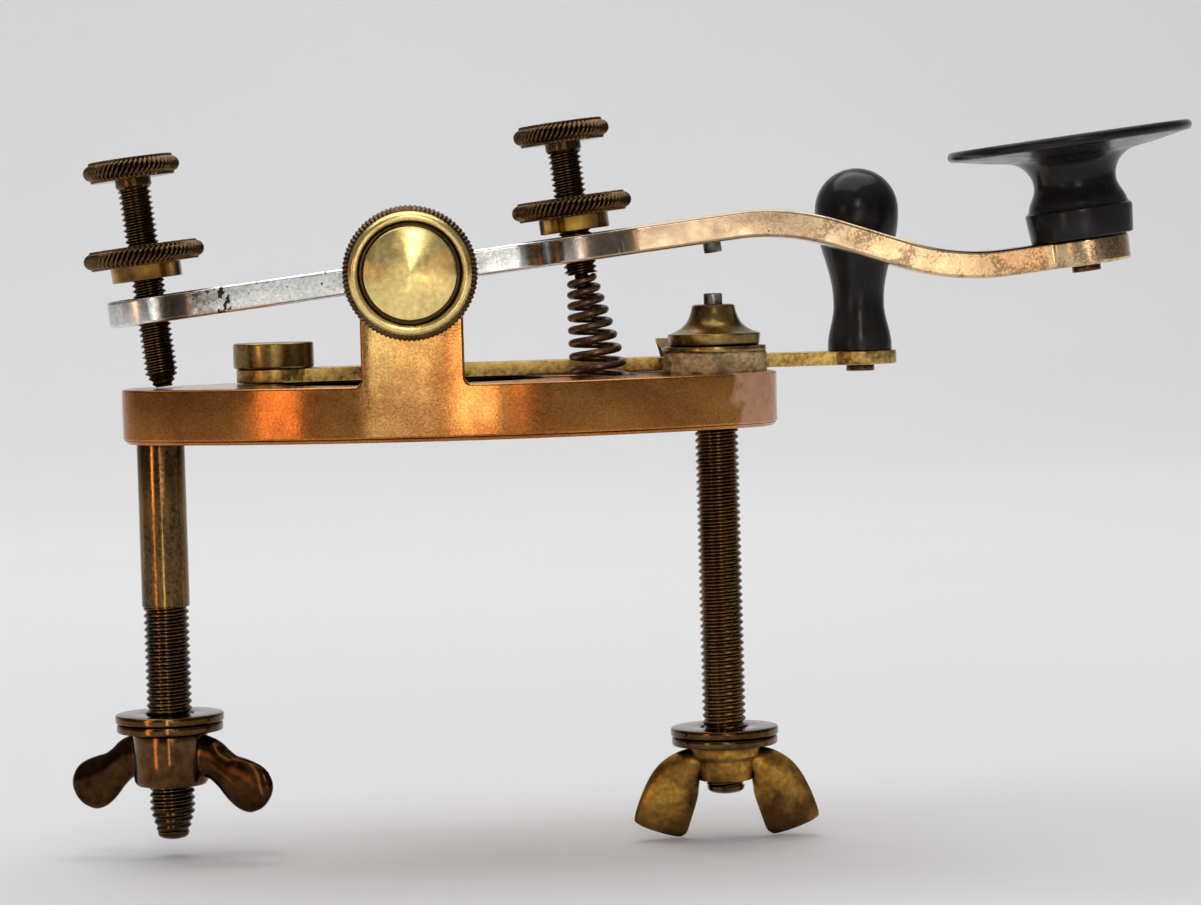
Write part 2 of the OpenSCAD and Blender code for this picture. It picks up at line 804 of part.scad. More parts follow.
// Trunnion screw: a cone point in the axle's centre, a thread and a knurled head
module trunnion_screw(side) {
    gap = seat_gap / sin(centre_angle);
    mouth_z = trunnion_l / 2;
    slope = tan(centre_angle);
    point_z = mouth_z - centre_r / slope + gap + point_r / slope;
    full_z = point_z + (trunnion_thread_r - point_r) / slope;
    head_z = upright_outer + seat_gap + trunnion_nut_h + head_space;
    face_z = head_z + trunnion_head_h;
    color(gold_brass)
        on_trunnion(side)
            difference() {
                union() {
                    translate([0, 0, point_z])
                        cylinder(r1 = point_r, r2 = trunnion_thread_r, h = full_z - point_z);
                    translate([0, 0, full_z])
                        cylinder(r = trunnion_thread_r, h = head_z - full_z + over / 2);
                    translate([0, 0, head_z])
                        beaded_disc(trunnion_head_r, trunnion_head_h, trunnion_bead, trunnion_bevel_r);
                    translate([0, 0, face_z - over / 2])
                        cylinder(r = trunnion_boss_r, h = trunnion_boss_h + over / 2);
                }
                translate([0, 0, face_z - trunnion_groove_d])
                    difference() {
                        cylinder(
                            r1 = trunnion_groove_r - trunnion_groove_d / 2,
                            r2 = trunnion_bevel_r - trunnion_groove_d / 4,
                            h = trunnion_groove_d + over / 4
                        );
                        translate([0, 0, -over])
                            cylinder(r = trunnion_boss_r, h = trunnion_groove_d + 2 * over);
                    }
            }
}

// Trunnion screw on the side seen in front
module trunnion_screw_near() {
    trunnion_screw(-1);
}

// Trunnion screw on the far side
module trunnion_screw_far() {
    trunnion_screw(1);
}

// Knurled lock nut of a trunnion screw
module trunnion_lock_nut(side) {
    shoulder_r = trunnion_nut_r - trunnion_nut_h / 4;
    color(dark_brass)
        on_trunnion(side)
            translate([0, 0, upright_outer + seat_gap])
                difference() {
                    beaded_disc(trunnion_nut_r, trunnion_nut_h, trunnion_nut_h * 3 / 4, shoulder_r);
                    translate([0, 0, -over])
                        cylinder(r = trunnion_thread_r + thread_fit, h = trunnion_nut_h + 2 * over);
                }
}

// Lock nut on the side seen in front
module trunnion_lock_nut_near() {
    trunnion_lock_nut(-1);
}

// Lock nut on the far side
module trunnion_lock_nut_far() {
    trunnion_lock_nut(1);
}

// Side outline of the lever's bar, in its own X and Z: straight, bent down, level again
module lever_outline() {
    half = lever_t / 2;
    first = [bend_x, -bend_r];
    second = [bend_x + bend_run, bend_r - bend_drop];
    polygon(concat(
        [[-stop_x, lever_top]],
        arc(first, bend_r + half, 90, 90 - bend_angle),
        arc(second, bend_r - half, 270 - bend_angle, 270),
        [[knob_x, pad_top], [knob_x, pad_bottom]],
        arc(second, bend_r + half, 270, 270 - bend_angle),
        arc(first, bend_r - half, 90 - bend_angle, 90),
        [[-stop_x, lever_bottom]]
    ));
}

// Bent lever with its eyes, hub and knob pad
module lever() {
    color(steel)
        on_lever()
            difference() {
                union() {
                    rotate([90, 0, 0])
                        linear_extrude(lever_w, center = true)
                            lever_outline();
                    translate([-stop_x, 0, lever_bottom])
                        cylinder(r = stop_eye_r, h = lever_t);
                    translate([spring_x, 0, lever_bottom])
                        cylinder(r = spring_eye_r, h = lever_t);
                    translate([knob_x, 0, pad_bottom])
                        cylinder(r = pad_r, h = lever_t);
                    rotate([90, 0, 0])
                        cylinder(r = hub_r, h = hub_w, center = true);
                }
                rotate([90, 0, 0])
                    cylinder(r = trunnion_r + fit, h = hub_w + 2 * over, center = true);
                for (x = [-stop_x, spring_x])
                    translate([x, 0, lever_bottom - over])
                        cylinder(r = screw_r + thread_fit, h = lever_t + 2 * over);
                translate([contact_x, 0, lever_bottom - over])
                    cylinder(r = upper_contact_r + fit, h = lever_t + 2 * over);
                translate([knob_x, 0, pad_bottom - over])
                    cylinder(r = knob_screw_r + fit, h = lever_t + 2 * over);
            }
}

// Cross axle with a centre in each end
module trunnion() {
    depth = centre_r / tan(centre_angle);
    color(steel)
        on_lever()
            difference() {
                rotate([90, 0, 0])
                    cylinder(r = trunnion_r, h = trunnion_l, center = true);
                for (side = [-1, 1])
                    rotate([-90 * side, 0, 0])
                        translate([0, 0, trunnion_l / 2 - depth])
                            cylinder(r1 = 0, r2 = centre_r, h = depth);
            }
}

// Contact rivet through the lever
module upper_contact() {
    color(silver)
        on_lever()
            translate([contact_x, 0, lever_bottom - upper_contact_h])
                cylinder(r = upper_contact_r, h = lever_t + upper_contact_h);
}

// Finger knob: a drum foot, a coved waist and a wide dished top
module key_knob() {
    rim_z = knob_h - knob_rim_t;
    flare = [knob_waist_r + (knob_r - knob_waist_r) / 3, rim_z - knob_rim_t];
    waist_z = (knob_foot_h + flare.y) / 2;
    foot_taper = knob_rim_t / 4;
    color(rubber)
        on_lever()
            translate([knob_x, 0, pad_top])
                difference() {
                    rotate_extrude()
                        polygon(concat(
                            [[0, 0], [knob_foot_r - foot_taper, 0]],
                            [[knob_foot_r, knob_foot_h - foot_taper]],
                            ease([knob_foot_r - foot_taper, knob_foot_h], [knob_waist_r, waist_z], true),
                            arc([flare.x, waist_z], flare.x - knob_waist_r, 180, 95),
                            arc([knob_r - knob_rim_t / 2, rim_z + knob_rim_t / 2], knob_rim_t / 2, -80, 90),
                            ease([knob_r - knob_rim_t, knob_h - knob_dish / 4], [0, knob_h - knob_dish])
                        ));
                    translate([0, 0, -over])
                        cylinder(r = knob_screw_r + fit, h = knob_screw_depth + fit + over);
                }
}

// Screw that holds the finger knob
module knob_screw() {
    color(dark_brass)
        on_lever()
            translate([knob_x, 0, pad_bottom])
                knob_screw_shape(lever_t);
}

// Rear thumbscrew, whose tip rests over the base
module stop_screw() {
    thread_bottom = stop_tip_z - lever_top + stop_taper_h;
    color(dark_brass)
        on_lever()
            translate([-stop_x, 0, lever_top]) {
                thumbscrew(thread_bottom, stop_head_lift);
                translate([0, 0, thread_bottom - stop_taper_h])
                    cylinder(r1 = stop_tip_r, r2 = screw_r, h = stop_taper_h);
            }
}

// Lock nut of the rear thumbscrew
module stop_lock_nut() {
    color(dark_brass)
        on_lever()
            translate([-stop_x, 0, lever_top + stop_nut_lift])
                lock_nut();
}

// Front thumbscrew, with a pilot inside the spring
module spring_screw() {
    thread_bottom = spring_shoulder_z - lever_top;
    color(dark_brass)
        on_lever()
            translate([spring_x, 0, lever_top]) {
                thumbscrew(thread_bottom, spring_head_lift);
                translate([0, 0, thread_bottom - pilot_l])
                    cylinder(r = pilot_r, h = pilot_l);
            }
}

// Lock nut of the front thumbscrew
module spring_lock_nut() {
    color(dark_brass)
        on_lever()
            translate([spring_x, 0, lever_top + spring_nut_lift])
                lock_nut();
}

// Centre of the wire, a number of turns down from the spring's top
function coil_point(turn) =
    let (
        share = turn / spring_turns,
        widening = (spring_foot_pitch - spring_top_pitch) * turn * share / 2,
        drop = spring_top_pitch * turn + widening,
        r = (spring_top_d + (spring_foot_d - spring_top_d) * share - wire_d) / 2,
        tilt = rest_tilt * (1 - share),
        axis = spring_top_at + [(spring_foot_x - spring_top_at.x) * drop / spring_rise, 0, -drop],
        across = r * cos(-360 * turn)
    )
    axis + [across * cos(tilt), r * sin(-360 * turn), across * sin(tilt)];

// Ring of wire points round a centre, square to a direction
function wire_ring(centre, direction) =
    let (
        d = direction / norm(direction),
        side = cross(d, [0, 0, 1]) / norm(cross(d, [0, 0, 1])),
        up = cross(side, d)
    )
    [
        for (i = [0 : wire_sides - 1])
            centre + wire_d / 2 * (cos(360 * i / wire_sides) * side + sin(360 * i / wire_sides) * up)
    ];

// Wire centres: a straight end, the curls, and a straight end
coil_run = [for (i = [0 : ring_count]) coil_point(i / curl_rings)];
first_end = coil_run[0] - coil_run[1];
last_end = coil_run[ring_count] - coil_run[ring_count - 1];
wire_run = concat(
    [coil_run[0] + wire_d * [first_end.x, first_end.y, 0] / norm([first_end.x, first_end.y])],
    coil_run,
    [coil_run[ring_count] + wire_d * [last_end.x, last_end.y, 0] / norm([last_end.x, last_end.y])]
);

// Least gap between one turn of the wire and the next, measured on its points
self_gap = min([
    for (i = [0 : ring_count - curl_rings])
        for (j = [i + curl_rings - 2 : min(i + curl_rings + 2, ring_count)])
            norm(coil_run[i] - coil_run[j]) - wire_d
]);
echo(spring_self_gap = self_gap);

// Conical spring as one unbroken wire
module lever_spring() {
    last = len(wire_run) - 1;
    rings = [
        for (i = [0 : last])
            wire_ring(wire_run[i], wire_run[min(i + 1, last)] - wire_run[max(i - 1, 0)])
    ];
    points = [for (ring = rings) each ring];
    sides = [
        for (i = [0 : last - 1])
            for (k = [0 : wire_sides - 1])
                let (
                    a = i * wire_sides + k,
                    b = i * wire_sides + (k + 1) % wire_sides
                )
                each [[a, b, a + wire_sides], [b, b + wire_sides, a + wire_sides]]
    ];
    caps = [
        for (k = [1 : wire_sides - 2])
            each [
                [0, k + 1, k],
                [last * wire_sides, last * wire_sides + k, last * wire_sides + k + 1]
            ]
    ];
    color(wire_colour)
        polyhedron(points, concat(sides, caps));
}

// Strip of the circuit closer, from its pivot to its knob pad
module closer_lever() {
    color(dark_brass)
        on_closer()
            translate([0, 0, strip_z])
                difference() {
                    union() {
                        cylinder(r = strip_eye_r, h = strip_t);
                        translate([closer_l, 0, 0])
                            cylinder(r = strip_pad_r, h = strip_t);
                        translate([0, -strip_w / 2, 0])
                            cube([closer_l, strip_w, strip_t]);
                    }
                    translate([0, 0, -over])
                        cylinder(r = pivot_shank_r + fit, h = strip_t + 2 * over);
                    translate([closer_l, 0, -over])
                        cylinder(r = knob_screw_r + fit, h = strip_t + 2 * over);
                }
}

// Pear-shaped knob of the circuit closer
module closer_knob() {
    crown_z = pear_h - pear_r;
    foot_h = pear_neck_h / 4;
    color(rubber)
        on_closer()
            translate([closer_l, 0, strip_top_z])
                difference() {
                    rotate_extrude()
                        polygon(concat(
                            [[0, 0], [pear_foot_r, 0]],
                            ease([pear_foot_r, foot_h], [pear_neck_r, pear_neck_h], true),
                            ease([pear_neck_r, pear_neck_h + foot_h], [pear_r, crown_z], true),
                            arc([0, crown_z], pear_r, 5, 90)
                        ));
                    translate([0, 0, -over])
                        cylinder(r = knob_screw_r + fit, h = knob_screw_depth + fit + over);
                }
}

// Screw that holds the closer's knob
module closer_knob_screw() {
    color(dark_brass)
        on_closer()
            translate([closer_l, 0, strip_z])
                knob_screw_shape(strip_t);
}

base_frame();
rear_leg();
front_leg();
insulating_bush();
insulating_washer();
contact_plate();
anvil();
lower_contact();
closer_pivot_screw();
rear_washers();
rear_wing_nut();
front_washers();
front_wing_nut();
trunnion_screw_near();
trunnion_screw_far();
trunnion_lock_nut_near();
trunnion_lock_nut_far();
lever();
trunnion();
upper_contact();
key_knob();
knob_screw();
stop_screw();
stop_lock_nut();
spring_screw();
spring_lock_nut();
lever_spring();
closer_lever();
closer_knob();
closer_knob_screw();
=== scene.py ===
"""Dresses a leg-mounted telegraph key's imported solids: threads, rope knurls, a wound spring and aged metal.

Shapes are worked out in millimetres and written into their meshes in metres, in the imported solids' frame:
+X runs along the lever toward the finger knob, +Z up from the table, and the origin is under the oval frame.
"""

import json
import math
from collections.abc import Callable
from typing import NamedTuple

import bmesh
import bpy
from mathutils import Matrix, Vector, noise


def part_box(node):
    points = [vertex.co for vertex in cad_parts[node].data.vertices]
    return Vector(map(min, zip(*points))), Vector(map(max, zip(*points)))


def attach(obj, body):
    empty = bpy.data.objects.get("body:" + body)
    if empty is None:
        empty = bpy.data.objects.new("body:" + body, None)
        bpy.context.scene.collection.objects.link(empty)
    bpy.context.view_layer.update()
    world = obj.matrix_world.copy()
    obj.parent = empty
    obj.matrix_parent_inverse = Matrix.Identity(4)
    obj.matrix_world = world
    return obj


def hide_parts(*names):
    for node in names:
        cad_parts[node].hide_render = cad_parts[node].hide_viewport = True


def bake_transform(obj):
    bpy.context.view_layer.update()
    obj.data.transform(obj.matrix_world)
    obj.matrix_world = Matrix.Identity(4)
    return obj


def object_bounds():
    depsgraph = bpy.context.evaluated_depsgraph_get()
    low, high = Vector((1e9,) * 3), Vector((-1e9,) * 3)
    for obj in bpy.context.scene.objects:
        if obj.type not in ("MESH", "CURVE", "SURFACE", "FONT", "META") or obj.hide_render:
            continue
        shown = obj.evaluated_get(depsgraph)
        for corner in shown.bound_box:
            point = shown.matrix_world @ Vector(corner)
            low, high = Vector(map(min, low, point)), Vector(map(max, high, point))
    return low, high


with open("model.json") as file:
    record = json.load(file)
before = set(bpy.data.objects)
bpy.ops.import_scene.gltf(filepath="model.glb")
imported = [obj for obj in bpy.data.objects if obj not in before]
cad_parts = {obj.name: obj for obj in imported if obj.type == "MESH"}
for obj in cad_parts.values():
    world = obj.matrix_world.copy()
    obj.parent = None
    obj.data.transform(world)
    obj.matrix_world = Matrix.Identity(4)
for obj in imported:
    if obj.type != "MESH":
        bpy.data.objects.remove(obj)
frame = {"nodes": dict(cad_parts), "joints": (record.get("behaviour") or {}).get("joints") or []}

bl_info = {
    "name": "Telegraph Key",
    "version": (1, 0, 0),
    "blender": (4, 5, 0),
    "location": "View3D > Sidebar > Telegraph Key",
    "description": "Builds a telegraph key's threads, knurls, spring, knobs and finishes round its solids",
    "category": "Add Mesh",
}

MM = 0.001
SOLIDS = frame["nodes"]
SOLID_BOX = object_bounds()
JOINTS = {joint["name"]: joint for joint in frame["joints"]}

# Places in millimetres: the lever at rest, and the trunnion axis with Z pointing out of each upright
PIVOT = Vector(JOINTS["lever_rock"]["pos_m"]) / MM
LEVER_UP = Vector(JOINTS["stop_screw_turn"]["axis"])
REST_TILT = math.atan2(-LEVER_UP.x, LEVER_UP.z)
STANDING = Matrix.Identity(4)
LEVER = Matrix.Translation(PIVOT) @ Matrix.Rotation(-REST_TILT, 4, "Y")
NEAR_SIDE = Matrix.Translation(PIVOT) @ Matrix.Rotation(math.radians(90), 4, "X")
FAR_SIDE = Matrix.Translation(PIVOT) @ Matrix.Rotation(math.radians(-90), 4, "X")

# How near points are welded and cuts are made, in millimetres, and which angles count as flat or sharp
WELD, SOLID_WELD, SLICE = 1e-3, 0.002, 1e-4
FLAT, SHARP_EDGE, SHARP_CORNER = math.radians(0.5), math.radians(30), 0.6

# Room between a lock nut's hole and the thread in it, in millimetres
THREAD_PLAY = 0.06

# How far from an edge metal is rubbed bare, and how far dirt and painted shade reach out of a hollow, in
# millimetres
RUBBED_EDGE, DIRT_SHADE_REACH = 0.3, 1.4


def length(name, description, millimetres):
    """A length property, shown in the scene's units."""
    return bpy.props.FloatProperty(
        name=name, description=description, default=millimetres * MM, min=0, unit="LENGTH", precision=5
    )


def count(name, description, default):
    """A whole-number property."""
    return bpy.props.IntProperty(name=name, description=description, default=default, min=3)


def tint(name, description, default):
    """A colour property."""
    return bpy.props.FloatVectorProperty(
        name=name, description=description, default=default, size=3, min=0, max=1, subtype="COLOR"
    )


class KeySizes(bpy.types.PropertyGroup):
    """Sizes of the details that the solids leave plain."""

    leg_pitch: length("Leg pitch", "Rise of the legs' thread in one turn", 1.0)
    leg_depth: length("Leg thread depth", "Depth of the legs' thread", 0.37)
    screw_pitch: length("Screw pitch", "Rise of the small screws' thread in one turn", 0.8)
    screw_depth: length("Screw thread depth", "Depth of the small screws' thread", 0.42)
    head_teeth: count("Head teeth", "Knurl teeth round a thumbscrew's head", 54)
    nut_teeth: count("Nut teeth", "Knurl teeth round a lock nut", 65)
    trunnion_teeth: count("Trunnion teeth", "Knurl teeth round a trunnion screw's head", 88)
    knurl_depth: length("Knurl depth", "Depth of the knurls between their teeth", 0.42)
    frame_round: length("Frame edge", "Rounding of the oval frame's edges", 0.35)
    lever_round: length("Lever edge", "Rounding of the lever's edges", 0.5)
    wire: length("Spring wire", "Diameter of the lever spring's wire", 1.06)
    spring_top: length("Spring top", "Outer diameter of the spring at its top", 4.4)
    spring_foot: length("Spring foot", "Outer diameter of the spring at its foot", 9.2)


class KeyColours(bpy.types.PropertyGroup):
    """Middle tones of the finishes."""

    brass: tint("Frame brass", "Aged orange brass of the oval frame", (0.43, 0.14, 0.034))
    frame_gold: tint("Frame gold", "Golden parts of the oval frame", (0.51, 0.215, 0.055))
    copper: tint("Bare copper", "Rubbed patch at the frame's front end", (0.82, 0.44, 0.26))
    dark_brass: tint("Dark brass", "Tarnished brass of the screws, nuts and legs", (0.105, 0.062, 0.025))
    wash_copper: tint("Dark copper", "Brown copper of the washers and rear wing nut", (0.1, 0.047, 0.017))
    lobe_brown: tint("Lobe brown", "Dark copper of the rear wing nut's lobes", (0.045, 0.02, 0.007))
    gold_brass: tint("Golden brass", "Rubbed brass of the trunnion heads", (0.94, 0.71, 0.28))
    olive_brass: tint("Olive brass", "Tarnished yellow brass of the anvil and closer", (0.42, 0.28, 0.085))
    leaf_brass: tint("Leaf brass", "Golden brown brass of the front wing nut and hubs", (0.58, 0.31, 0.055))
    steel: tint("Steel", "Bright metal of the lever", (0.72, 0.73, 0.72))
    bare: tint("Bare lever", "Warm metal where the lever's plating is worn", (0.88, 0.61, 0.35))
    rubber: tint("Hard rubber", "Black of the knobs", (0.012, 0.0112, 0.0115))
    fibre: tint("Fibre", "Buff of the insulating washer and bush", (0.60, 0.42, 0.21))
    stain: tint("Fibre stain", "Dark stains in the fibre", (0.16, 0.12, 0.06))
    wire: tint("Spring wire", "Dark metal of the spring", (0.15, 0.09, 0.055))
    # Dark used for real dirt, pits and oil, and for painted shade in hollows and within the frame's window
    soot_and_shade: tint("Grime", "Dirt in the hollows", (0.02, 0.014, 0.008))
    floor: tint("Floor", "Pale floor and backdrop", (0.84, 0.84, 0.85))
    low_sky: tint("Low sky", "Studio light from the sides", (0.30, 0.29, 0.28))
    high_sky: tint("High sky", "Studio light from above", (0.8, 0.8, 0.8))


def span(node, place):
    """Lowest and highest corner of a solid in a place's own axes, in millimetres."""
    back = place.inverted()
    points = [back @ (vertex.co / MM) for vertex in SOLIDS[node].data.vertices]
    return tuple(Vector(pick(p[i] for p in points) for i in range(3)) for pick in (min, max))


def centred(node, place):
    """A place moved to a round solid's own axis, with the solid's lowest and highest point and radius."""
    low, high = span(node, place)
    middle = (low + high) / 2
    return place @ Matrix.Translation((middle.x, middle.y, 0)), low.z, high.z, (high.x - low.x) / 2


def arc(centre, radius, start, end, steps=12):
    """Points along an arc between two angles in degrees."""
    angles = [math.radians(start + (end - start) * i / steps) for i in range(steps + 1)]
    return [(centre[0] + radius * math.cos(a), centre[1] + radius * math.sin(a)) for a in angles]


def ease(start, end, upright, steps=16):
    """An S-shaped run between two points, steep at both ends where it is upright and level where it isn't."""
    run = []
    for i in range(steps + 1):
        t = i / steps
        s = (1 - math.cos(math.pi * t)) / 2
        across, along = (s, t) if upright else (t, s)
        run.append((start[0] + (end[0] - start[0]) * across, start[1] + (end[1] - start[1]) * along))
    return run


def everything(bm):
    """All the vertices, edges and faces of a shape."""
    return bm.verts[:] + bm.edges[:] + bm.faces[:]


def vertices(items):
    """The vertices among what an operator gives back."""
    return [item for item in items if isinstance(item, bmesh.types.BMVert)]


def repeated(bm, times, step):
    """Copy a shape along, each copy one step on from the last, and weld the row together."""
    last = everything(bm)
    for _ in range(times - 1):
        last = bmesh.ops.duplicate(bm, geom=last)["geom"]
        bmesh.ops.transform(bm, matrix=step, verts=vertices(last))
    bmesh.ops.remove_doubles(bm, verts=bm.verts, dist=WELD)


def spun(bm, geom, angle, steps, rise=0.0):
    """Spin a profile round Z, rising by a step's height each time."""
    bmesh.ops.spin(
        bm, geom=geom, axis=(0, 0, 1), cent=(0, 0, 0), dvec=(0, 0, rise),
        angle=angle, steps=steps, use_merge=False, use_duplicate=False,
    )


def rounded(bm, geom, width, segments, affect, clamp):
    """Round some corners or edges of a shape."""
    bmesh.ops.bevel(
        bm, geom=geom, offset=width, offset_type="OFFSET", segments=segments, profile=0.5,
        affect=affect, clamp_overlap=clamp, material=-1,
    )


def sliced(bm, point, normal, clear=False):
    """Cut a shape by a plane, and take away what lies beyond it where that is asked for."""
    bmesh.ops.bisect_plane(
        bm, geom=everything(bm), dist=SLICE, plane_co=point, plane_no=normal, clear_outer=clear
    )


def lathe(profile, sectors=12, steps=8, closed=False, corner=0.0):
    """Spin a profile of (radius, height) points into a closed skin, with its sharp corners rounded first."""
    bm = bmesh.new()
    verts = [bm.verts.new((r, 0, z)) for r, z in profile]
    for pair in zip(verts, verts[1:]):
        bm.edges.new(pair)
    if closed:
        bm.edges.new((verts[-1], verts[0]))
    sharp = [v for v in verts if len(v.link_edges) == 2 and v.calc_edge_angle(0) > SHARP_CORNER]
    if corner and sharp:
        rounded(bm, sharp, corner, 3, "VERTICES", True)
    sector = 2 * math.pi / sectors
    spun(bm, bm.verts[:] + bm.edges[:], sector, steps)
    repeated(bm, sectors, Matrix.Rotation(sector, 4, "Z"))
    return bm


def thread(radius, bottom, top, pitch, depth, taper=0.0, tip=0.0, steps=28):
    """A right-hand thread between two heights, cut flat at both ends and tapered at its lower one."""
    bm = bmesh.new()
    # Turns below the bottom and in all, so that whole ridges stand at both cuts
    early, spare = 1.5, 3
    turns = math.ceil((top - bottom) / pitch) + spare
    root = radius - depth
    # One ridge of the thread, its heights in parts of the pitch
    ridge = [(root, 0), (root, 0.14), (radius, 0.48), (radius, 0.62), (root, 1)]
    verts = [bm.verts.new((r, 0, bottom + (rise - early) * pitch)) for r, rise in ridge]
    edges = [bm.edges.new(pair) for pair in zip(verts, verts[1:])]
    spun(bm, verts + edges, 2 * math.pi, steps, pitch / steps)
    repeated(bm, turns, Matrix.Translation((0, 0, pitch)))
    for height, way in ((bottom, -1), (top, 1)):
        sliced(bm, (0, 0, height), (0, 0, way), clear=True)
    bmesh.ops.holes_fill(bm, edges=[edge for edge in bm.edges if edge.is_boundary], sides=0)
    for vertex in bm.verts:
        up = vertex.co.z - bottom
        if taper and up < taper:
            vertex.co.xy *= (tip + (radius - tip) * up / taper) / radius
    return bm


def loft(sections, sides=16):
    """Skin a row of sections, each a matrix that places a unit circle, and close both ends."""
    bm = bmesh.new()
    bmesh.ops.create_circle(bm, cap_ends=True, segments=sides, radius=1, matrix=sections[0])
    rim = bm.edges[:]
    for before, after in zip(sections, sections[1:]):
        grown = bmesh.ops.extrude_edge_only(bm, edges=rim)["geom"]
        verts = vertices(grown)
        fresh = set(verts)
        rim = [
            item for item in grown
            if isinstance(item, bmesh.types.BMEdge) and item.verts[0] in fresh and item.verts[1] in fresh
        ]
        bmesh.ops.transform(bm, matrix=after @ before.inverted(), verts=verts)
    bmesh.ops.edgeloop_fill(bm, edges=rim)
    return bm


def finer(run, steps=4):
    """A row of points, each a tuple, with more points on a smooth curve through them."""
    ends = [run[0], *run, run[-1]]
    row = []
    for i in range(len(run) - 1):
        a, b, c, d = ends[i : i + 4]
        for k in range(steps):
            t = k / steps
            weights = (
                (-t + 2 * t ** 2 - t ** 3) / 2, (2 - 5 * t ** 2 + 3 * t ** 3) / 2,
                (t + 4 * t ** 2 - 3 * t ** 3) / 2, (t ** 3 - t ** 2) / 2,
            )
            row.append(tuple(sum(w * v for w, v in zip(weights, four)) for four in zip(a, b, c, d)))
    return [*row, run[-1]]


def headings(points):
    """The direction of a run at each of its points."""
    return [after - before for before, after in zip([points[0], *points], [*points[1:], points[-1]])]


def section(point, along, across, half_across, half_out):
    """A matrix that lays a unit circle square to a run, sized along a given direction and out of it."""
    along = along.normalized()
    out = along.cross(across).normalized()
    across = out.cross(along)
    placed = Matrix.Identity(4)
    for column, axis in enumerate((across * half_across, out * half_out, along, point)):
        placed.col[column].xyz = axis
    return placed


def copied(node, place=STANDING):
    """A copy of a solid in millimetres, in a place's own axes, with its flat faces joined."""
    bm = bmesh.new()
    bm.from_mesh(SOLIDS[node].data)
    bmesh.ops.transform(bm, matrix=place.inverted() @ Matrix.Scale(1 / MM, 4), verts=bm.verts)
    bmesh.ops.remove_doubles(bm, verts=bm.verts, dist=SOLID_WELD)
    bmesh.ops.dissolve_limit(
        bm, angle_limit=FLAT, use_dissolve_boundaries=False, verts=bm.verts, edges=bm.edges
    )
    return bm


def softened(bm, width, segments=2):
    """Round the sharp edges of a copied solid."""
    sharp = [edge for edge in bm.edges if edge.is_manifold and edge.calc_face_angle(0) > SHARP_EDGE]
    rounded(bm, sharp, width, segments, "EDGES", False)
    return bm


def knurl(bm, rim, floor, middle, teeth, depth, lean=0.6):
    """Cut slanted teeth into a disc's rim, between the radius of its shoulder and that of its bead."""
    for vertex in bm.verts:
        reach = vertex.co.xy.length
        share = min(1.0, (reach - floor) / (rim - floor))
        if share <= 0:
            continue
        angle = math.atan2(vertex.co.y, vertex.co.x)
        ridge = abs(math.sin(teeth * angle / 2)) ** 1.1
        reach -= depth * math.sqrt(share) * (1 - ridge)
        angle += lean / rim * (vertex.co.z - middle)
        vertex.co.xy = (reach * math.cos(angle), reach * math.sin(angle))
    return bm


def beaded_rim(rim, low, high, bead, shoulder):
    """Outer profile of a knurled disc: a shoulder, a round bead and a shoulder."""
    middle, half = (low + high) / 2, bead / 2
    open_angle = math.degrees(math.acos(max(-1.0, min(1.0, (shoulder - rim + half) / half))))
    return [(shoulder, low), *arc((rim - half, middle), half, -open_angle, open_angle), (shoulder, high)]


def add_piece(name, parts, place, body, node, finish, crease=35, weighted=False, second=None):
    """Join shapes into one object in its place, riding on a body and standing for its solid.

    A second finish comes with a test that picks its faces by their middle.
    """
    mesh = bpy.data.meshes.new(name)
    whole = bmesh.new()
    for part in parts:
        part.to_mesh(mesh)
        whole.from_mesh(mesh)
        part.free()
    bmesh.ops.recalc_face_normals(whole, faces=whole.faces)
    if second:
        for face in whole.faces:
            face.material_index = int(second[1](face.calc_center_median()))
    bmesh.ops.transform(whole, matrix=Matrix.Scale(MM, 4) @ place, verts=whole.verts)
    for face in whole.faces:
        face.smooth = True
    for edge in whole.edges:
        edge.smooth = edge.calc_face_angle(0) < math.radians(crease)
    whole.to_mesh(mesh)
    whole.free()
    piece = bpy.data.objects.new(name, mesh)
    bpy.context.scene.collection.objects.link(piece)
    for use in (finish, second[0]) if second else (finish,):
        mesh.materials.append(finished(use))
    if weighted:
        flat = piece.modifiers.new("Flat faces", "WEIGHTED_NORMAL")
        flat.weight = 100
        flat.keep_sharp = True
    if body:
        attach(piece, body)
    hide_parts(node)
    return piece


def add_softened(name, body, node, finish, width, segments=2):
    """Add a copy of a solid with its edges rounded."""
    parts = [softened(copied(node), width / MM, segments)]
    add_piece(name, parts, STANDING, body, node, finish, weighted=True)


def coat(node, finish):
    """Give a solid that stays as it is a better finish."""
    for holder in SOLIDS[node].material_slots:
        holder.material = finished(finish)


def feed(made, sockets):
    """Link or set a shader node's sockets."""
    for name, value in sockets.items():
        if isinstance(value, bpy.types.NodeSocket):
            made.id_data.links.new(value, made.inputs[name])
        else:
            made.inputs[name].default_value = value
    return made


def add(tree, kind, sockets=None, **settings):
    """A shader node with its settings, and its sockets linked or set."""
    made = tree.nodes.new("ShaderNode" + kind)
    for name, value in settings.items():
        setattr(made, name, value)
    return feed(made, sockets or {})


def grains(at, scale, detail=3.0, stretch=(1, 1, 1)):
    """Noise from 0 to 1, its scale counted per millimetre."""
    tree = at.id_data
    spread = add(tree, "Mapping", {"Vector": at, "Scale": stretch}).outputs["Vector"]
    return add(tree, "TexNoise", {"Vector": spread, "Scale": scale, "Detail": detail}).outputs["Fac"]


def remap(value, low, high, to_low=0.0, to_high=1.0):
    """A value's run from low to high, set to another run and held at its ends."""
    sockets = {"Value": value, "From Min": low, "From Max": high, "To Min": to_low, "To Max": to_high}
    return add(value.id_data, "MapRange", sockets).outputs["Result"]


def maths(operation, first, second):
    """One step of arithmetic on two values."""
    return add(first.id_data, "Math", {0: first, 1: second}, operation=operation).outputs["Value"]


def product(first, second):
    """Two values multiplied."""
    return maths("MULTIPLY", first, second)


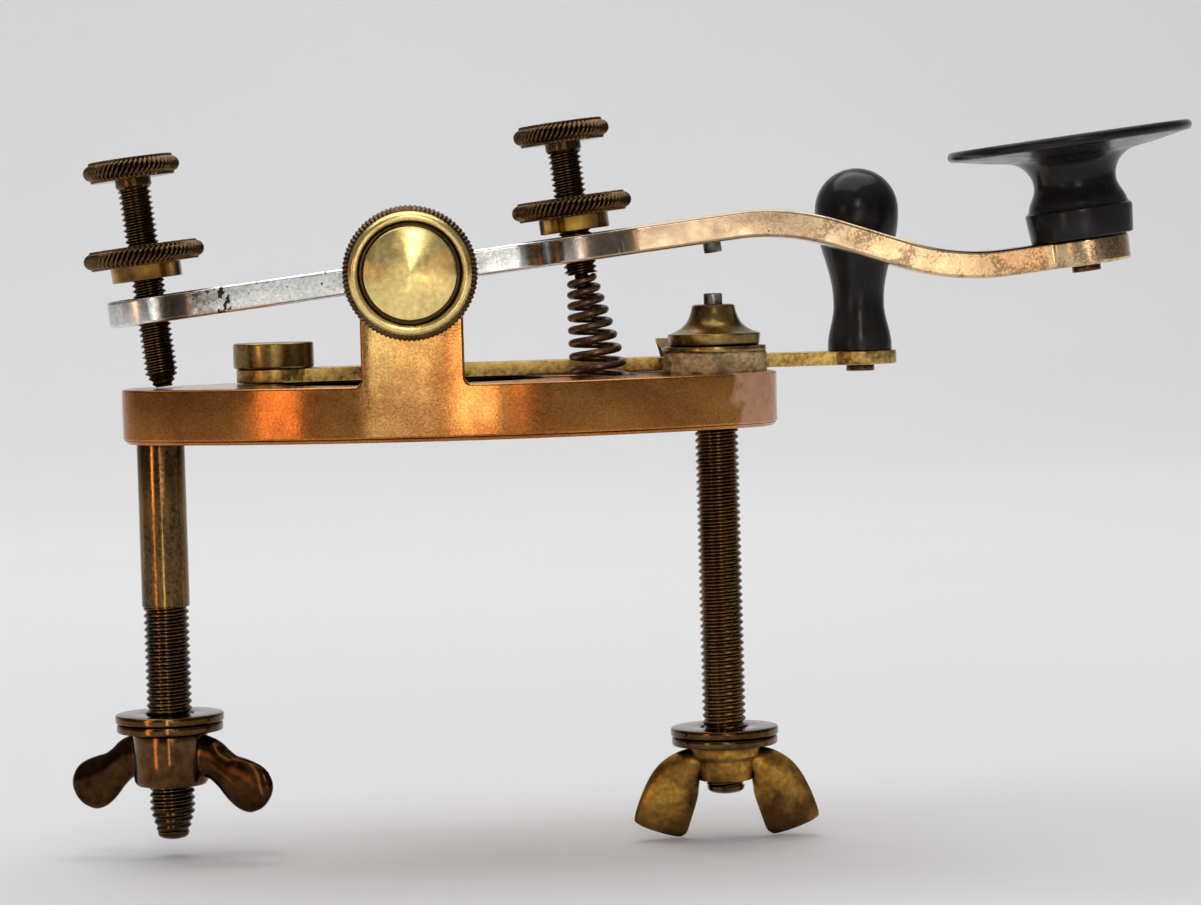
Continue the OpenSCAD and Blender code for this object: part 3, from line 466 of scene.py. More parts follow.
def vectors(operation, sockets, output="Vector"):
    """One step of arithmetic on vectors."""
    return add(sockets[0].id_data, "VectorMath", sockets, operation=operation).outputs[output]


def coordinate(at, axis):
    """One coordinate of a place."""
    return add(at.id_data, "SeparateXYZ", {"Vector": at}).outputs[axis]


def ragged(at, value, scale, detail, reach):
    """A value moved up and down by noise, for an uneven border."""
    return maths("ADD", value, remap(grains(at, scale, detail), 0.2, 0.8, -reach, reach))


def mixed(share, under, over):
    """Two colours mixed by a share."""
    return add(share.id_data, "Mix", {0: share, 6: under, 7: over}, data_type="RGBA").outputs[2]


def bumped(height, strength, depth, **below):
    """Normals bumped by a height, to a depth in millimetres."""
    sockets = {"Height": height, "Strength": strength, "Distance": depth * MM, **below}
    return add(height.id_data, "Bump", sockets).outputs["Normal"]


def tinted(name, strength=1.0):
    """One of the scene's colours with its alpha, made darker or brighter."""
    colour = getattr(bpy.context.scene.telegraph_key_colours, name)
    return (*(min(1.0, channel * strength) for channel in colour), 1.0)


class Metal(NamedTuple):
    """An aged metal: the names of its tones, and how they spread, wear and shine."""

    tone: str
    other: str  # tone of the patches
    shades: tuple  # darkest and brightest part of the tones
    gloss: tuple  # smoothest and roughest
    patch: float  # patches per millimetre
    speck: float  # specks per millimetre
    grime_and_shade: float  # dirt and painted shade in the hollows
    wear: float  # how bare the edges are rubbed
    relief: float = 0.1  # strength of the fine bumps
    marks: Callable | None = None  # adds stains, and says how metallic they are
    turned: float = 0.0  # strength of the shine round a turned face
    wave: float = 0.0  # depth of broad dents in millimetres


def metal(shader, at, kind):
    """Aged metal: two tones in patches, fine specks, dirt and painted shade in its hollows, rubbed edges and
    uneven gloss.
    """
    tree = at.id_data
    patches = grains(at, kind.patch, 4)
    specks = grains(at, kind.speck, 4)
    tone = mixed(remap(patches, 0.38, 0.62), tinted(kind.tone), tinted(kind.other))
    blend = maths("ADD", product(patches, 0.4), product(specks, 0.6))
    shade = remap(blend, 0.36, 0.64, *kind.shades)
    tone = vectors("SCALE", {0: tone, "Scale": shade})
    shine = None
    if kind.marks:
        tone, shine = kind.marks(at, tone)
    edge = add(tree, "Bevel", {"Radius": RUBBED_EDGE * MM}, samples=4).outputs["Normal"]
    plain = add(tree, "NewGeometry").outputs["Normal"]
    facing = vectors("DOT_PRODUCT", {0: edge, 1: plain}, "Value")
    rubbed = product(remap(facing, 0.985, 0.8), remap(specks, 0.35, 0.6, 0.2, 1.0))
    tone = mixed(product(rubbed, kind.wear), tone, tinted(kind.tone, 1.9))
    # Dirt and painted shade: the tone darkens towards the dark colour where ambient occlusion finds a hollow
    open_air = add(tree, "AmbientOcclusion", {"Distance": DIRT_SHADE_REACH * MM}, samples=6).outputs["AO"]
    dirt_shade_share = product(remap(open_air, 0.9, 0.3), kind.grime_and_shade)
    tone = mixed(dirt_shade_share, tone, tinted("soot_and_shade"))
    gloss = remap(grains(at, kind.patch * 5, 4), 0.3, 0.7, *kind.gloss)
    relief = bumped(specks, kind.relief, 0.1)
    if kind.wave:
        relief = bumped(grains(at, 0.06, 1), 1.0, kind.wave, Normal=relief)
    feed(shader, {"Base Color": tone, "Roughness": gloss, "Normal": relief, "Metallic": shine or 1.0})
    if kind.turned:
        around = add(tree, "Tangent", direction_type="RADIAL", axis="Y").outputs["Tangent"]
        feed(shader, {"Anisotropic": kind.turned, "Anisotropic Rotation": 0.25, "Tangent": around})


def frame_marks(at, tone):
    """Bare copper at the frame's front end, and painted shade within its window."""
    border = ragged(at, coordinate(at, "X"), 0.3, 5, 3)
    pale = mixed(grains(at, 0.7, 5), tinted("copper", 0.55), tinted("copper", 1.1))
    tone = mixed(remap(border, 40, 41.5), tone, pale)
    # Painted shade: faces turned into the window, below the frame's top, go dark
    outward = vectors("NORMALIZE", {0: vectors("MULTIPLY", {0: at, 1: (1, 1, 0)})})
    normal = add(at.id_data, "NewGeometry").outputs["Normal"]
    facing = vectors("DOT_PRODUCT", {0: outward, 1: normal}, "Value")
    height = coordinate(at, "Z")
    window_shade = product(remap(facing, -0.1, -0.4), remap(height, 8.6, 7.6))
    return mixed(window_shade, tone, tinted("soot_and_shade")), remap(border, 40, 41.5, 1.0, 0.3)


def lever_marks(at, tone):
    """Pits and a painted dark reflection by the lever's rear eye, and plating worn to warm metal, at places
    in millimetres.
    """
    along = coordinate(at, "X")
    border = ragged(at, along, 0.3, 5, 7)
    warm = mixed(grains(at, 2.5, 4), tinted("bare", 0.7), tinted("bare", 1.2))
    tone = mixed(remap(border, 18, 62), tone, warm)
    dulled = product(remap(border, 14, 24, 0, 0.85), remap(border, 62, 48))
    tone = mixed(dulled, tone, tinted("bare", 0.47))
    spots = product(grains(at, 1.5, 3), grains(at, 0.3, 3))
    clean = maths("ADD", remap(along, -12, -28, 0.14, 0), remap(along, -37, -39, 0, 0.2))
    pitted = remap(maths("SUBTRACT", spots, clean), 0.31, 0.35)
    tone = mixed(pitted, tone, tinted("soot_and_shade", 2))
    # Painted dark reflection beside the rear eye, with a ragged edge
    eye_reflection_edge = ragged(at, along, 0.9, 4, 3)
    eye_dark_reflection = product(remap(along, -41.5, -40.3), remap(eye_reflection_edge, -31.5, -37, 0, 0.85))
    tone = mixed(eye_dark_reflection, tone, tinted("bare", 0.16))
    dirt = product(grains(at, 3.0, 3), grains(at, 0.25, 3))
    stained = product(remap(dirt, 0.24, 0.34, 0, 0.8), remap(along, 30, 55))
    return mixed(stained, tone, tinted("bare", 0.3)), None


def leg_marks(at, tone):
    """Painted golden reflection streaks down the legs, and old oil on the rear leg's thread."""
    # Painted reflection: random vertical golden streaks that stand in for lamps mirrored in the round legs
    down = grains(at, 0.9, 4, (1, 1, 0.08))
    tone = mixed(remap(down, 0.5, 0.68, 0, 0.5), tone, tinted("olive_brass", 0.7))
    rear = remap(coordinate(at, "X"), 0, -5)
    oiled = product(rear, remap(coordinate(at, "Z"), -23, -25, 0, 0.6))
    return mixed(oiled, tone, tinted("soot_and_shade")), None


def leaf_marks(at, tone):
    """Burnt brass towards the tips of the front wing nut's leaves."""
    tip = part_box("front_wing_nut")[0][2] / MM
    border = ragged(at, coordinate(at, "Z"), 0.35, 4, 2.5)
    burnt = remap(border, tip + 5, tip + 1, 0, 0.75)
    return mixed(burnt, tone, tinted("wash_copper")), None


METALS = {
    "aged_brass": Metal(
        "brass", "frame_gold", (0.62, 1.32), (0.1, 0.19), 0.07, 3.4, 0.7, 0.4, 0.05, frame_marks, wave=0.15
    ),
    "worn_steel": Metal(
        "steel", "steel", (0.72, 1.2), (0.14, 0.25), 0.1, 2.0, 0.7, 0.2, 0.06, lever_marks, wave=0.5
    ),
    "tarnished_brass": Metal("dark_brass", "dark_brass", (0.5, 1.7), (0.12, 0.25), 0.2, 2.2, 0.8, 1.0),
    "streaked_brass": Metal(
        "dark_brass", "wash_copper", (0.45, 1.7), (0.12, 0.22), 0.2, 1.8, 0.5, 0.8, marks=leg_marks
    ),
    "brown_copper": Metal("wash_copper", "dark_brass", (0.6, 1.5), (0.09, 0.18), 0.18, 0.9, 1.0, 0.6, 0.05),
    "black_copper": Metal("lobe_brown", "lobe_brown", (0.5, 1.6), (0.12, 0.22), 0.18, 0.9, 1.0, 0.8, 0.05),
    "olive_brass": Metal("olive_brass", "dark_brass", (0.7, 1.35), (0.2, 0.36), 0.11, 1.6, 1.0, 0.5),
    "leaf_brass": Metal("leaf_brass", "wash_copper", (0.7, 1.35), (0.14, 0.24), 0.1, 0.6, 1.0, 0.5, 0.05),
    "satin_leaf": Metal(
        "leaf_brass", "wash_copper", (0.6, 1.5), (0.3, 0.44), 0.13, 1.2, 1.0, 0.1, 0.08, leaf_marks
    ),
    "rough_brass": Metal("olive_brass", "olive_brass", (0.5, 2.3), (0.25, 0.5), 0.3, 1.5, 1.0, 0.4, 0.4),
    "turned_brass": Metal(
        "gold_brass", "gold_brass", (0.75, 1.2), (0.2, 0.3), 0.16, 1.2, 0.9, 0.3, 0.03, turned=0.9
    ),
    "bronze_wire": Metal("wire", "wire", (0.6, 1.5), (0.24, 0.38), 0.4, 2.0, 1.0, 0.3),
    "dull_contact": Metal("steel", "dark_brass", (0.4, 0.9), (0.3, 0.45), 0.3, 2.2, 1.0, 0.3),
}


def rubber(shader, at):
    """Black hard rubber with a soft sheen, faded a little brown."""
    faded = remap(grains(at, 0.12, 4), 0.45, 0.7)
    tone = mixed(faded, tinted("rubber"), tinted("rubber", 2.5))
    gloss = remap(grains(at, 0.5, 4), 0.3, 0.7, 0.16, 0.28)
    scuffs = bumped(grains(at, 3.0, 3, (1, 1, 0.3)), 0.05, 0.1)
    sockets = {"Base Color": tone, "Roughness": gloss, "Normal": scuffs, "Specular IOR Level": 0.22}
    feed(shader, sockets)


def fibre(shader, at):
    """Vulcanised fibre, layered and stained."""
    layers = grains(at, 1.6, 6, (1, 1, 1.5))
    stains = remap(grains(at, 0.3, 4), 0.52, 0.66, 0, 0.7)
    tone = mixed(remap(layers, 0.35, 0.65), tinted("fibre", 0.6), tinted("fibre", 1.2))
    tone = mixed(stains, tone, tinted("stain"))
    feed(shader, {"Base Color": tone, "Roughness": 0.8, "Normal": bumped(layers, 0.4, 0.2)})


def floor(shader, at):
    """Plain pale floor."""
    tone = mixed(grains(at, 0.004, 2), tinted("floor", 0.97), tinted("floor", 1.03))
    feed(shader, {"Base Color": tone, "Roughness": 0.9})


OTHER_FINISHES = {"hard_rubber": rubber, "grey_fibre": fibre, "pale_floor": floor}


def finished(name):
    """The material of a finish, made on Object coordinates in millimetres when it is first used."""
    if name in bpy.data.materials:
        return bpy.data.materials[name]
    material = bpy.data.materials.new(name)
    material.use_nodes = True
    tree = material.node_tree
    shader = tree.nodes["Principled BSDF"]
    where = add(tree, "TexCoord").outputs["Object"]
    at = add(tree, "Mapping", {"Vector": where, "Scale": (1 / MM,) * 3}).outputs["Vector"]
    if name in METALS:
        metal(shader, at, METALS[name])
    else:
        OTHER_FINISHES[name](shader, at)
    return material


class TELEGRAPH_KEY_OT_oval_frame(bpy.types.Operator):
    """Round the edges of the cast oval frame with its uprights"""

    bl_idname = "telegraph_key.oval_frame"
    bl_label = "Oval frame"

    def execute(self, context):
        width = context.scene.telegraph_key_sizes.frame_round
        add_softened("oval_frame", "frame", "base_frame", "aged_brass", width, 3)
        return {"FINISHED"}


class TELEGRAPH_KEY_OT_legs(bpy.types.Operator):
    """Turn the two legs, with their threads cut into them"""

    bl_idname = "telegraph_key.legs"
    bl_label = "Legs"

    shank_end: length("Shank end", "Depth below the frame where the rear leg's thread starts", 23.7)
    rear_thread: length("Rear thread", "Outer radius of the rear leg's thread", 3.3)
    taper: length("Taper", "Height of the taper at a leg's end", 3.4)
    rear_tip: length("Rear tip", "Radius at the rear leg's end", 2.3)
    front_tip: length("Front tip", "Radius at the front leg's end", 2.75)
    dome_height: length("Dome", "Height of a leg's rounded end below its thread", 0.9)

    OVERLAP = 0.5  # how far the rear thread runs up into its shank, in millimetres
    # A leg's rounded end: part of the tip's radius, and height
    DOME = ((0, 0), (0.5, 0.06), (0.8, 0.25), (0.95, 0.55), (1, 1.1), (0, 1.1))

    def dome(self, low, radius):
        """The rounded end of a leg."""
        return lathe([(radius * share, low + height) for share, height in self.DOME], 6)

    def execute(self, context):
        sizes = context.scene.telegraph_key_sizes
        pitch, depth = sizes.leg_pitch / MM, sizes.leg_depth / MM
        taper, shank_end, dome = self.taper / MM, self.shank_end / MM, self.dome_height / MM
        place, low, high, radius = centred("rear_leg", STANDING)
        tip = self.rear_tip / MM
        shank = lathe([(0, -shank_end), (radius, -shank_end), (radius, high), (0, high)], corner=0.3)
        end = self.OVERLAP - shank_end
        lower = thread(self.rear_thread / MM, low + dome, end, pitch, depth, taper, tip)
        parts = [shank, lower, self.dome(low, tip)]
        add_piece("rear_threaded_leg", parts, place, "frame", "rear_leg", "streaked_brass")
        place, low, high, radius = centred("front_leg", STANDING)
        tip = self.front_tip / MM
        parts = [thread(radius, low + dome, high, pitch, depth, taper, tip), self.dome(low, tip)]
        add_piece("front_threaded_leg", parts, place, "frame", "front_leg", "streaked_brass")
        return {"FINISHED"}


class TELEGRAPH_KEY_OT_washers(bpy.types.Operator):
    """Stack two worn clamp washers on each leg"""

    bl_idname = "telegraph_key.washers"
    bl_label = "Clamp washers"

    thickness: length("Thickness", "Thickness of one clamp washer", 1.25)
    bore: length("Bore", "Radius of a clamp washer's hole", 3.45)
    LESS = 0.15  # how much smaller the lower washer's radius is, in millimetres

    def execute(self, context):
        thick, bore = self.thickness / MM, self.bore / MM
        for end in ("rear", "front"):
            node = f"{end}_washers"
            place, low, high, radius = centred(node, STANDING)
            rings = []
            for foot, reach in ((low, radius - self.LESS), (high - thick, radius)):
                outline = [(bore, foot), (reach, foot), (reach, foot + thick), (bore, foot + thick)]
                rings.append(lathe(outline, closed=True, corner=0.3))
            add_piece(f"{end}_clamp_washers", rings, place, node, node, "brown_copper")
        return {"FINISHED"}


class TELEGRAPH_KEY_OT_wing_nuts(bpy.types.Operator):
    """Shape the two wing nuts, one with round lobes and one with broad leaves"""

    bl_idname = "telegraph_key.wing_nuts"
    bl_label = "Wing nuts"

    turn: bpy.props.FloatProperty(
        name="Rear turn", description="Turn of the rear wing nut about its leg",
        default=math.radians(-23), subtype="ANGLE",
    )
    bore: length("Bore", "Radius of the wing nuts' holes", 3.36)
    hub: length("Hub", "Radius beyond which the rear wing nut is dark", 5.6)

    # Each hub's outline: radius, and height above its top
    LOBED_HUB = ((5.0, -7.7), (5.4, -7.0), (5.4, -0.3), (5.1, 0))
    LEAVED_HUB = ((3.9, -5.1), (4.35, -2.2), (4.7, -1.9), (5.1, -1.5), (5.1, -0.2), (4.9, 0))

    # Each wing's run from the hub: distance from the axis, height, half width and half thickness
    LOBE = (
        (4.2, -3.6, 3.3, 1.8), (5.4, -3.65, 3.2, 1.7), (6.6, -3.95, 2.95, 1.6), (7.8, -4.7, 2.65, 1.5),
        (9.0, -5.6, 2.75, 1.4), (10.2, -6.4, 3.2, 1.35), (11.4, -7.2, 3.55, 1.3), (12.6, -7.95, 3.65, 1.25),
        (13.6, -8.6, 3.4, 1.15), (14.4, -9.1, 2.8, 1.0), (15.0, -9.5, 1.9, 0.8), (15.3, -9.7, 0.9, 0.4),
    )
    LEAF = (
        (3.7, -2.4, 2.0, 1.9), (4.8, -2.7, 2.4, 2.0), (5.9, -3.5, 2.95, 1.9), (6.9, -4.7, 3.5, 1.8),
        (7.7, -6.2, 3.85, 1.6), (8.4, -7.9, 4.0, 1.4), (9.0, -9.5, 4.05, 1.15), (9.4, -10.7, 4.05, 0.95),
        (9.7, -11.6, 3.95, 0.8), (9.85, -12.1, 3.6, 0.6), (9.95, -12.4, 2.8, 0.4), (10.0, -12.55, 1.2, 0.15),
    )

    def wings(self, run):
        """Two wings, one a half turn from the other."""
        run = finer(run)
        points = [Vector((x, 0, z)) for x, z, _, _ in run]
        across = Vector((0, 1, 0))
        rows = [
            section(point, along, across, half_thick, half_width)
            for point, along, (_, _, half_width, half_thick) in zip(points, headings(points), run)
        ]
        half_turn = Matrix.Rotation(math.pi, 4, "Z")
        return [loft(rows, 28), loft([half_turn @ row for row in rows], 28)]

    def execute(self, context):
        bore, hub_radius = self.bore / MM, self.hub / MM
        lobes = ("black_copper", lambda at: at.xy.length > hub_radius)
        for end, style, outline, corner, wing, turn, finish, second in (
            ("rear", "lobed", self.LOBED_HUB, 0.25, self.LOBE, self.turn, "brown_copper", lobes),
            ("front", "leaf", self.LEAVED_HUB, 0.2, self.LEAF, 0.0, "satin_leaf", None),
        ):
            node = f"{end}_wing_nut"
            place, _, high, _ = centred(node, STANDING)
            place = place @ Matrix.Translation((0, 0, high)) @ Matrix.Rotation(turn, 4, "Z")
            hub = lathe([(bore, outline[0][1]), *outline, (bore, 0)], closed=True, corner=corner)
            parts = [hub, *self.wings(wing)]
            add_piece(f"{end}_{style}_wing_nut", parts, place, node, node, finish, 60, second=second)
        return {"FINISHED"}


class TELEGRAPH_KEY_OT_anvil(bpy.types.Operator):
    """Build the insulated anvil with its fibre, contact plate and contact"""

    bl_idname = "telegraph_key.anvil"
    bl_label = "Anvil"

    crumble: length("Crumble", "How far the fibre's rim is eaten away", 0.35)
    bore: length("Bore", "Radius of the fibre's hole", 3.2)
    swell: length("Swell", "How far the fibre's front bulges past its solid", 0.45)
    plate_edge: length("Plate edge", "Rounding of the contact plate's edges", 0.12)
    flange: length("Flange", "Height of the anvil's flange", 1.8)

    # The anvil's hollow flank: radius, and height above its flange
    BELL = (
        (6.4, 0.05), (5.7, 0.3), (5.1, 0.6), (4.6, 0.95), (4.2, 1.35), (3.85, 1.8), (3.6, 2.3),
        (3.4, 2.8), (3.24, 3.3), (3.14, 3.8), (3.05, 4.05), (2.75, 4.2),
    )

    def execute(self, context):
        crumble, bore, swell = self.crumble / MM, self.bore / MM, self.swell / MM
        place, low, high, radius = centred("insulating_washer", STANDING)
        radius += swell
        side = [(radius, low + (high - low) * i / 8) for i in range(1, 8)]
        outline = [(bore, low), (radius - 0.1, low), *side, (radius - 0.25, high), (bore, high)]
        ring = lathe(outline, 20, closed=True)
        for vertex in ring.verts:
            if vertex.co.xy.length > radius - 1:
                eaten = noise.fractal(vertex.co * Vector((0.9, 0.9, 1.6)), 1.0, 2.0, 4) + 0.5
                # The bulge fades towards the back, where the closer's strip comes past
                behind = min(1.0, max(0.0, 2 * vertex.co.y / radius))
                vertex.co.xy *= 1 - (crumble * max(0.0, eaten) + swell * behind) / radius
        add_piece("fibre_washer", [ring], place, "frame", "insulating_washer", "grey_fibre", 60)
        coat("insulating_bush", "grey_fibre")
        add_softened("tongued_plate", "frame", "contact_plate", "olive_brass", self.plate_edge)
        place, low, high, radius = centred("anvil", STANDING)
        flange = low + self.flange / MM
        bell = [
            (0, low), (radius - 0.5, low), (radius - 0.2, low + 0.2), (radius, flange - 0.1),
            (radius - 0.1, flange), *((r, flange + z) for r, z in self.BELL), (0, high),
        ]
        add_piece("bell_anvil", [lathe(bell, corner=0.12)], place, "frame", "anvil", "olive_brass")
        for name, node, base, body in (
            ("lower_rivet", "lower_contact", STANDING, "frame"),
            ("upper_rivet", "upper_contact", LEVER, "lever"),
        ):
            place, low, high, radius = centred(node, base)
            stud = lathe([(0, low), (radius, low), (radius, high), (0, high)], 6, corner=0.22)
            add_piece(name, [stud], place, body, node, "dull_contact")
        return {"FINISHED"}


class TELEGRAPH_KEY_OT_trunnion(bpy.types.Operator):
    """Turn the trunnion screws with their knurled heads and lock nuts"""

    bl_idname = "telegraph_key.trunnion"
    bl_label = "Trunnion screws"

    head: length("Head", "Thickness of a trunnion screw's head without its boss", 4.0)
    boss: length("Boss", "Height of the boss on a trunnion screw's head", 0.9)
    boss_radius: length("Boss radius", "Radius of that boss", 6.4)
    shank: length("Shank", "Outer radius of a trunnion screw's thread", 3.0)
    point: length("Point", "Length of a trunnion screw's cone point", 4.5)

    # On a head, in millimetres: the height and shoulder of its bead and where the teeth start, the round
    # ridge's middle, half width and drop below the face, and the groove's outer radius and depth
    BEAD, SHOULDER, TEETH = 2.8, 8.4, 8.45
    RIDGE, RIDGE_HALF, RIDGE_DROP = 7.73, 0.66, 0.4
    GROOVE, GROOVE_DEPTH = 7.05, 1.3
    # On a lock nut: the height of its bead, and its shoulder, where the teeth start
    NUT_BEAD, NUT_SHOULDER = 2.25, 7.5

    def execute(self, context):
        sizes = context.scene.telegraph_key_sizes
        pitch, cut, bite = sizes.screw_pitch / MM, sizes.screw_depth / MM, sizes.knurl_depth / MM
        shank, boss_radius = self.shank / MM, self.boss_radius / MM
        for side, base in (("near", NEAR_SIDE), ("far", FAR_SIDE)):
            node = f"trunnion_screw_{side}"
            place, low, high, rim = centred(node, base)
            face = high - self.boss / MM
            back = face - self.head / MM
            full = low + self.point / MM
            core = shank - cut
            point = lathe([(0, low), (0.4, low), (core, full), (core, full + 1), (0, full + 1)], 6)
            shaft = thread(shank, full, back + 0.2, pitch, cut)
            # Over the knurl stands a round ridge, then a groove, and the boss in the middle
            crest, groove = face - self.RIDGE_DROP, face - self.GROOVE_DEPTH
            outline = [
                (0, back), *beaded_rim(rim, back, crest, self.BEAD, self.SHOULDER),
                *arc((self.RIDGE, crest), self.RIDGE_HALF, 5, 175), (self.GROOVE, groove),
                (boss_radius, groove), (boss_radius, high - 0.15), (boss_radius - 0.3, high), (0, high),
            ]
            head = lathe(outline, sizes.trunnion_teeth, 6, corner=0.12)
            knurl(head, rim, self.TEETH, (back + face) / 2, sizes.trunnion_teeth, bite / 2, 0.0)

            def in_shade(at):
                """Whether a place is under the head, on its knurl or in its groove."""
                reach = at.xy.length
                in_groove = boss_radius < reach < self.GROOVE + 0.05
                return at.z < groove + 0.2 or reach > self.TEETH + 0.05 or in_groove

            dark = ("tarnished_brass", in_shade)
            body = f"{side}_trunnion_screw"
            parts = [point, shaft, head]
            add_piece(f"{side}_trunnion_turner", parts, place, body, node, "turned_brass", second=dark)
            node = f"trunnion_lock_nut_{side}"
            place, low, high, rim = centred(node, base)
            bore = shank + THREAD_PLAY
            bead = beaded_rim(rim, low, high, self.NUT_BEAD, self.NUT_SHOULDER)
            outline = [(bore, low), *bead, (bore, high)]
            ring = lathe(outline, sizes.nut_teeth, closed=True, corner=0.15)
            knurl(ring, rim, self.NUT_SHOULDER, (low + high) / 2, sizes.nut_teeth, bite)
            body = f"{side}_trunnion_nut"
            add_piece(body, [ring], place, body, node, "tarnished_brass")
        coat("trunnion", "worn_steel")
        return {"FINISHED"}


class TELEGRAPH_KEY_OT_lever(bpy.types.Operator):
    """Let the bent lever's eyes flow into its sides and round its edges"""

    bl_idname = "telegraph_key.lever"
    bl_label = "Lever"

    half_width: length("Half width", "Half the width of the lever's bar", 4.5)
    stop_eye: length("Stop eye", "Radius of the stop screw's eye", 6.3)
    spring_eye: length("Spring eye", "Radius of the spring screw's eye", 7.5)
    hollow: length("Hollow", "Radius of the hollow between an eye and the bar", 8.0)
    CUT_WELD, AT_WALL = 0.05, 0.06  # in millimetres: what counts as one cut, and as on the lever's side

    def flow(self, bm, middle, radius, half, hollow, steps=12):
        """Fill the corners beside a round eye with hollow curves."""
        reach = math.sqrt((radius + hollow) ** 2 - (half + hollow) ** 2)
        start = reach * radius / (radius + hollow)
        for side in (-1, 1):
            for i in range(steps + 1):
                x = middle + side * (start + (reach - start) * i / steps)
                sliced(bm, (x, 0, 0), (1, 0, 0))
        bmesh.ops.remove_doubles(bm, verts=bm.verts, dist=self.CUT_WELD)
        for vertex in bm.verts:
            off = abs(vertex.co.x - middle)
            wall = max(half, math.sqrt(max(0.0, radius ** 2 - off ** 2)))
            if start < off < reach and abs(abs(vertex.co.y) - wall) < self.AT_WALL:
                curve = half + hollow - math.sqrt(hollow ** 2 - (reach - off) ** 2)
                vertex.co.y = math.copysign(curve, vertex.co.y)

    def execute(self, context):
        width = context.scene.telegraph_key_sizes.lever_round / MM
        bar = copied("lever", LEVER)
        for node, radius in (("stop_screw", self.stop_eye), ("spring_screw", self.spring_eye)):
            low, high = span(node, LEVER)
            self.flow(bar, (low.x + high.x) / 2, radius / MM, self.half_width / MM, self.hollow / MM)
        parts = [softened(bar, width, 3)]
        add_piece("bent_lever", parts, LEVER, "lever", "lever", "worn_steel", weighted=True)
        return {"FINISHED"}


class TELEGRAPH_KEY_OT_thumbscrews(bpy.types.Operator):
    """Turn the two thumbscrews and their lock nuts, with threads and rope knurls"""

    bl_idname = "telegraph_key.thumbscrews"
    bl_label = "Thumbscrews"

    shank: length("Shank", "Outer radius of a thumbscrew's thread", 2.4)
    head: length("Head", "Thickness of a thumbscrew's head", 3.0)
    collar: length("Collar", "Height of the plain collar under a head", 1.4)
    hub: length("Hub", "Height of a lock nut's hub", 2.15)
    pilot: length("Pilot", "Length of the spring screw's pilot", 2.2)
    taper: length("Taper", "Height of the taper at the stop screw's tip", 2.0)

    # In millimetres, on a head and on a lock nut: height and shoulder of the bead, and where the teeth start
    HEAD_BEAD, HEAD_SHOULDER, HEAD_TEETH = 2.25, 6.05, 5.9
    NUT_BEAD, NUT_SHOULDER, NUT_TEETH = 2.3, 7.75, 7.4
    # Radii of the collar and its foot, a lock nut's hub, the pilot and the stop screw's tip
    COLLAR, COLLAR_FOOT, HUB, PILOT, TIP = 2.6, 2.3, 5.05, 1, 1.3

    def execute(self, context):
        sizes = context.scene.telegraph_key_sizes
        pitch, cut, bite = sizes.screw_pitch / MM, sizes.screw_depth / MM, sizes.knurl_depth / MM
        shank, hub = self.shank / MM, self.hub / MM
        for use in ("stop", "spring"):
            node = f"{use}_screw"
            place, low, high, rim = centred(node, LEVER)
            under = high - self.head / MM
            neck = under - self.collar / MM
            bead = beaded_rim(rim, under, high, self.HEAD_BEAD, self.HEAD_SHOULDER)
            head = lathe([(0, under), *bead, (0, high)], sizes.head_teeth, corner=0.15)
            knurl(head, rim, self.HEAD_TEETH, (under + high) / 2, sizes.head_teeth, bite)
            sleeve = [
                (0, neck), (self.COLLAR_FOOT, neck), (self.COLLAR, neck + 0.4),
                (self.COLLAR, under + 0.1), (0, under + 0.1),
            ]
            parts = [head, lathe(sleeve, 8)]
            if use == "stop":
                parts.append(thread(shank, low, neck + 0.1, pitch, cut, self.taper / MM, self.TIP))
            else:
                foot = low + self.pilot / MM
                parts.append(thread(shank, foot, neck + 0.1, pitch, cut))
                pin = [(0, low), (self.PILOT, low), (self.PILOT, foot + 0.1), (0, foot + 0.1)]
                parts.append(lathe(pin, 6, corner=0.3))
            add_piece(f"{use}_thumbscrew", parts, place, node, node, "tarnished_brass")
            node = f"{use}_lock_nut"
            place, low, high, rim = centred(node, LEVER)
            bore, flange = shank + THREAD_PLAY, low + hub
            outline = [
                (bore, low), (self.HUB, low), (self.HUB, flange),
                *beaded_rim(rim, flange, high, self.NUT_BEAD, self.NUT_SHOULDER),
                (bore + 0.5, high), (bore, high - 0.4),
            ]
            ring = lathe(outline, sizes.nut_teeth, closed=True, corner=0.2)
            knurl(ring, rim, self.NUT_TEETH, (flange + high) / 2, sizes.nut_teeth, bite)
            # The hub is bright outside its hole
            bright = ("leaf_brass", lambda at: at.z < flange and at.xy.length > 3)
            body = f"{use}_nut"
            add_piece(f"{use}_thumb_nut", [ring], place, body, node, "tarnished_brass", second=bright)
        return {"FINISHED"}


